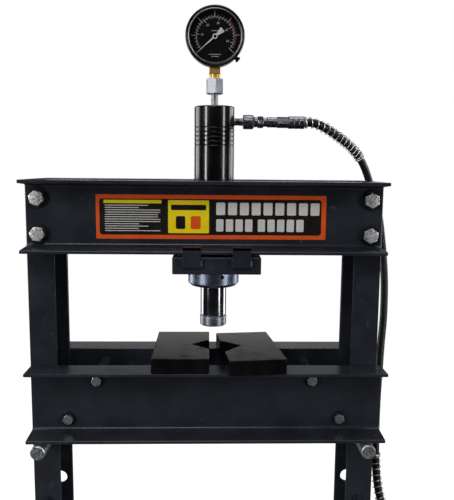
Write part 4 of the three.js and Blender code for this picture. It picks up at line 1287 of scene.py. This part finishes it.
low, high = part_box("lower_ferrule")
hex_top = body_top + 18.3 * mm
hose_x = (low.x + high.x) / 2
swage = turned(rounded([
    (0, body_top + 17 * mm), (9.6 * mm, body_top + 17 * mm), (10.7 * mm, hex_top + 1 * mm, 0.6 * mm),
    (10.7 * mm, hex_top + 8 * mm),
    (10.2 * mm, hex_top + 9 * mm, 0.4 * mm), (10.7 * mm, hex_top + 10 * mm), (10.7 * mm, hex_top + 17 * mm),
    (10.2 * mm, hex_top + 18 * mm, 0.4 * mm), (10.7 * mm, hex_top + 19 * mm),
    (10.7 * mm, high.z, 0.8 * mm), (0, high.z),
]), steps=48)
swage = joined(swage, hexagon(19 * mm, low.z, hex_top, turn=0.2))
piece(
    "swaged_lower_ferrule", moved(swage, Matrix.Translation((hose_x, 0, 0))), fitting_steel, "frame",
    ["lower_ferrule"],
)


# ---------- pump handle ----------
# A forged socket on the pivot pin with a long round steel bar pressed into it.
# The bar is black enamelled and ends in a ribbed rubber grip.

low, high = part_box("pump_handle")
grip_low, grip_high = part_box("handle_grip")
bar_z, bar_radius = (grip_low.z + grip_high.z) / 2, 10.5 * mm
socket_half, socket_front = 9 * mm, -112 * mm
socket = block(
    (-socket_half, socket_front, low.z), (socket_half, high.y, high.z), edge=2.5 * mm, segments=3,
)
lever = moved(moved(turned(rounded([
    (0, low.y), (bar_radius, low.y, 1 * mm), (bar_radius, socket_front + 30 * mm),
    (0, socket_front + 30 * mm),
]), steps=48), to_y), Matrix.Translation((0, 0, bar_z)))
collar = moved(moved(turned(rounded([
    (0, socket_front - 12 * mm), (12.4 * mm, socket_front - 12 * mm, 1.5 * mm),
    (12.4 * mm, socket_front + 1 * mm),
    (0, socket_front + 1 * mm),
]), steps=48), to_y), Matrix.Translation((0, 0, bar_z)))
eye = moved(moved(rod(5.3 * mm, -30 * mm, 30 * mm, 32), to_x), Matrix.Translation((0, pivot.y, pivot.z)))
forging = combined(combined(socket, lever, "UNION"), eye)
handle = joined(forging, moved(collar, Matrix.Translation((0, 0, 0))))
piece(
    "forged_pump_handle", moved(handle, Matrix.Translation((pump_x, 0, 0))), gloss_enamel, "handle",
    ["pump_handle"],
)

grip_rubber, tree, shader = surface("moulded_grip_rubber", {"Specular IOR Level": 0.35})
mottle(tree, shader, 12 * mm, "#121213", "#1d1d1f", rough=(0.5, 0.66), bump=0.15 * mm, grain=1.4 * mm)
grip_radius = (grip_high.x - grip_low.x) / 2
ribs = []
rib_pitch = 6 * mm
rib_count = int((grip_high.y - grip_low.y - 20 * mm) / rib_pitch)
for number in range(rib_count):
    start = grip_low.y + 12 * mm + number * rib_pitch
    ribs += [
        (grip_radius, start, 0.6 * mm), (grip_radius, start + 3.6 * mm, 0.6 * mm),
        (grip_radius - 1.2 * mm, start + 4.4 * mm, 0.4 * mm),
        (grip_radius - 1.2 * mm, start + 5.2 * mm, 0.4 * mm),
    ]
grip = turned(rounded([
    (0, grip_low.y), (grip_radius, grip_low.y, 5 * mm), *ribs, (grip_radius, grip_high.y, 1.2 * mm),
    (bar_radius + 0.3 * mm, grip_high.y), (bar_radius + 0.3 * mm, grip_low.y + 4.5 * mm),
    (0, grip_low.y + 4.5 * mm),
], steps=3), steps=48)
piece(
    "ribbed_handle_grip", moved(moved(grip, to_y), Matrix.Translation((pump_x, 0, bar_z))),
    grip_rubber, "handle", ["handle_grip"],
)


# ---------- release valve ----------
# A black moulded knob with six lobes on a zinc plated valve stem, at the pump's outer side.
# Turning it lets the oil back into the tank.

knob_plastic, tree, shader = surface("moulded_phenolic_knob", {"Specular IOR Level": 0.5})
mottle(tree, shader, 8 * mm, "#101012", "#18181a", rough=(0.28, 0.38), bump=0.05 * mm, grain=1.5 * mm)
low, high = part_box("release_knob")
knob_y, knob_z = (low.y + high.y) / 2, (low.z + high.z) / 2
wheel_start, knob_radius = low.x + 12 * mm, 16 * mm
lobes = []
for step in range(72):
    angle = step / 72 * 2 * math.pi
    radius = knob_radius - 1.4 * mm * (1 - math.cos(6 * angle))
    lobes.append(Vector((radius * math.cos(angle), radius * math.sin(angle))))
wheel = drawn_out(lobes, high.x - wheel_start, edge=2 * mm)
stem = turned(
    rounded(
        [
            (0, low.x), (5 * mm, low.x, 0.4 * mm), (5 * mm, wheel_start + 1 * mm),
            (0, wheel_start + 1 * mm),
        ]
    ),
    steps=40,
)
place = Matrix.Translation((0, knob_y, knob_z)) @ to_x
wheel = moved(wheel, Matrix.Translation((0, 0, wheel_start)))
piece(
    "lobed_release_knob", moved(wheel, place), knob_plastic, "release_valve",
    ["release_knob"],
)
piece("valve_stem", moved(stem, place), smooth_zinc, "release_valve")


# ---------- floor and light ----------
# A floor and a surround that are white to the camera only: what the press mirrors of them is darker.
# Tall soft lamps at both sides draw the upright streaks on the cylinder, the nut and the ram, two
# broad ones light the sides from behind, and others stand overhead, high in front and low at the back.

floor_white, tree, shader = surface("pale_studio_floor", {"Roughness": 0.9, "Specular IOR Level": 0.0})
mottle(tree, shader, 400 * mm, "#707070", "#787878")
shader.inputs["Emission Color"].default_value = linear("#ffffff")
seen = node(tree, "ShaderNodeLightPath").outputs["Is Camera Ray"]
glow = node(tree, "ShaderNodeMapRange", {"Value": seen, "To Min": 0.0, "To Max": 1.0})
tree.links.new(glow.outputs["Result"], shader.inputs["Emission Strength"])
floor = bmesh.new()
bmesh.ops.create_grid(floor, x_segments=4, y_segments=4, size=30)
floor_mesh = bpy.data.meshes.new("studio_floor")
floor.to_mesh(floor_mesh)
floor.free()
floor_mesh.materials.append(floor_white)
floor_object = bpy.data.objects.new("studio_floor", floor_mesh)
bpy.context.scene.collection.objects.link(floor_object)

world = bpy.data.worlds.new("white_surround")
bpy.context.scene.world = world
world.use_nodes = True
tree = world.node_tree
background = tree.nodes["Background"]
seen = node(tree, "ShaderNodeLightPath").outputs["Is Camera Ray"]
strength = node(tree, "ShaderNodeMapRange", {"Value": seen, "To Min": 0.014, "To Max": 1.0})
tree.links.new(strength.outputs["Result"], background.inputs["Strength"])
background.inputs["Color"].default_value = linear("#ffffff")


def lamp(name, place, target, width, height, power):
    """A soft rectangular lamp aimed at a point."""
    data = bpy.data.lights.new(name, "AREA")
    data.shape = "RECTANGLE"
    data.size, data.size_y, data.energy = width, height, power
    made = bpy.data.objects.new(name, data)
    bpy.context.scene.collection.objects.link(made)
    heading = (Vector(target) - Vector(place)).to_track_quat("-Z", "Y")
    made.matrix_world = Matrix.Translation(place) @ heading.to_matrix().to_4x4()
    made.visible_camera = False


lamp("left_lamp", (-2.2, -1.9, 1.9), (0, 0, 1.35), 0.4, 2.2, 36)
lamp("right_lamp", (2.3, -1.6, 1.7), (0, 0, 1.3), 0.4, 2.2, 24)
lamp("top_lamp", (0, 0.2, 4.2), (0, 0, 1.2), 2.6, 2.2, 48)
lamp("back_lamp", (0.35, 3.2, 1.66), (0, 0, 1.2), 3.0, 0.7, 6)
lamp("front_lamp", (-0.4, -2.4, 3.7), (0, 0, 1.3), 1.6, 0.9, 24)
lamp("left_rear_lamp", (-2.9, 1.3, 1.5), (0, 0, 1.0), 2.0, 2.4, 42)
lamp("right_rear_lamp", (2.9, 1.3, 1.5), (0, 0, 1.0), 2.0, 2.4, 42)
bpy.context.scene.view_settings.view_transform = "Standard"
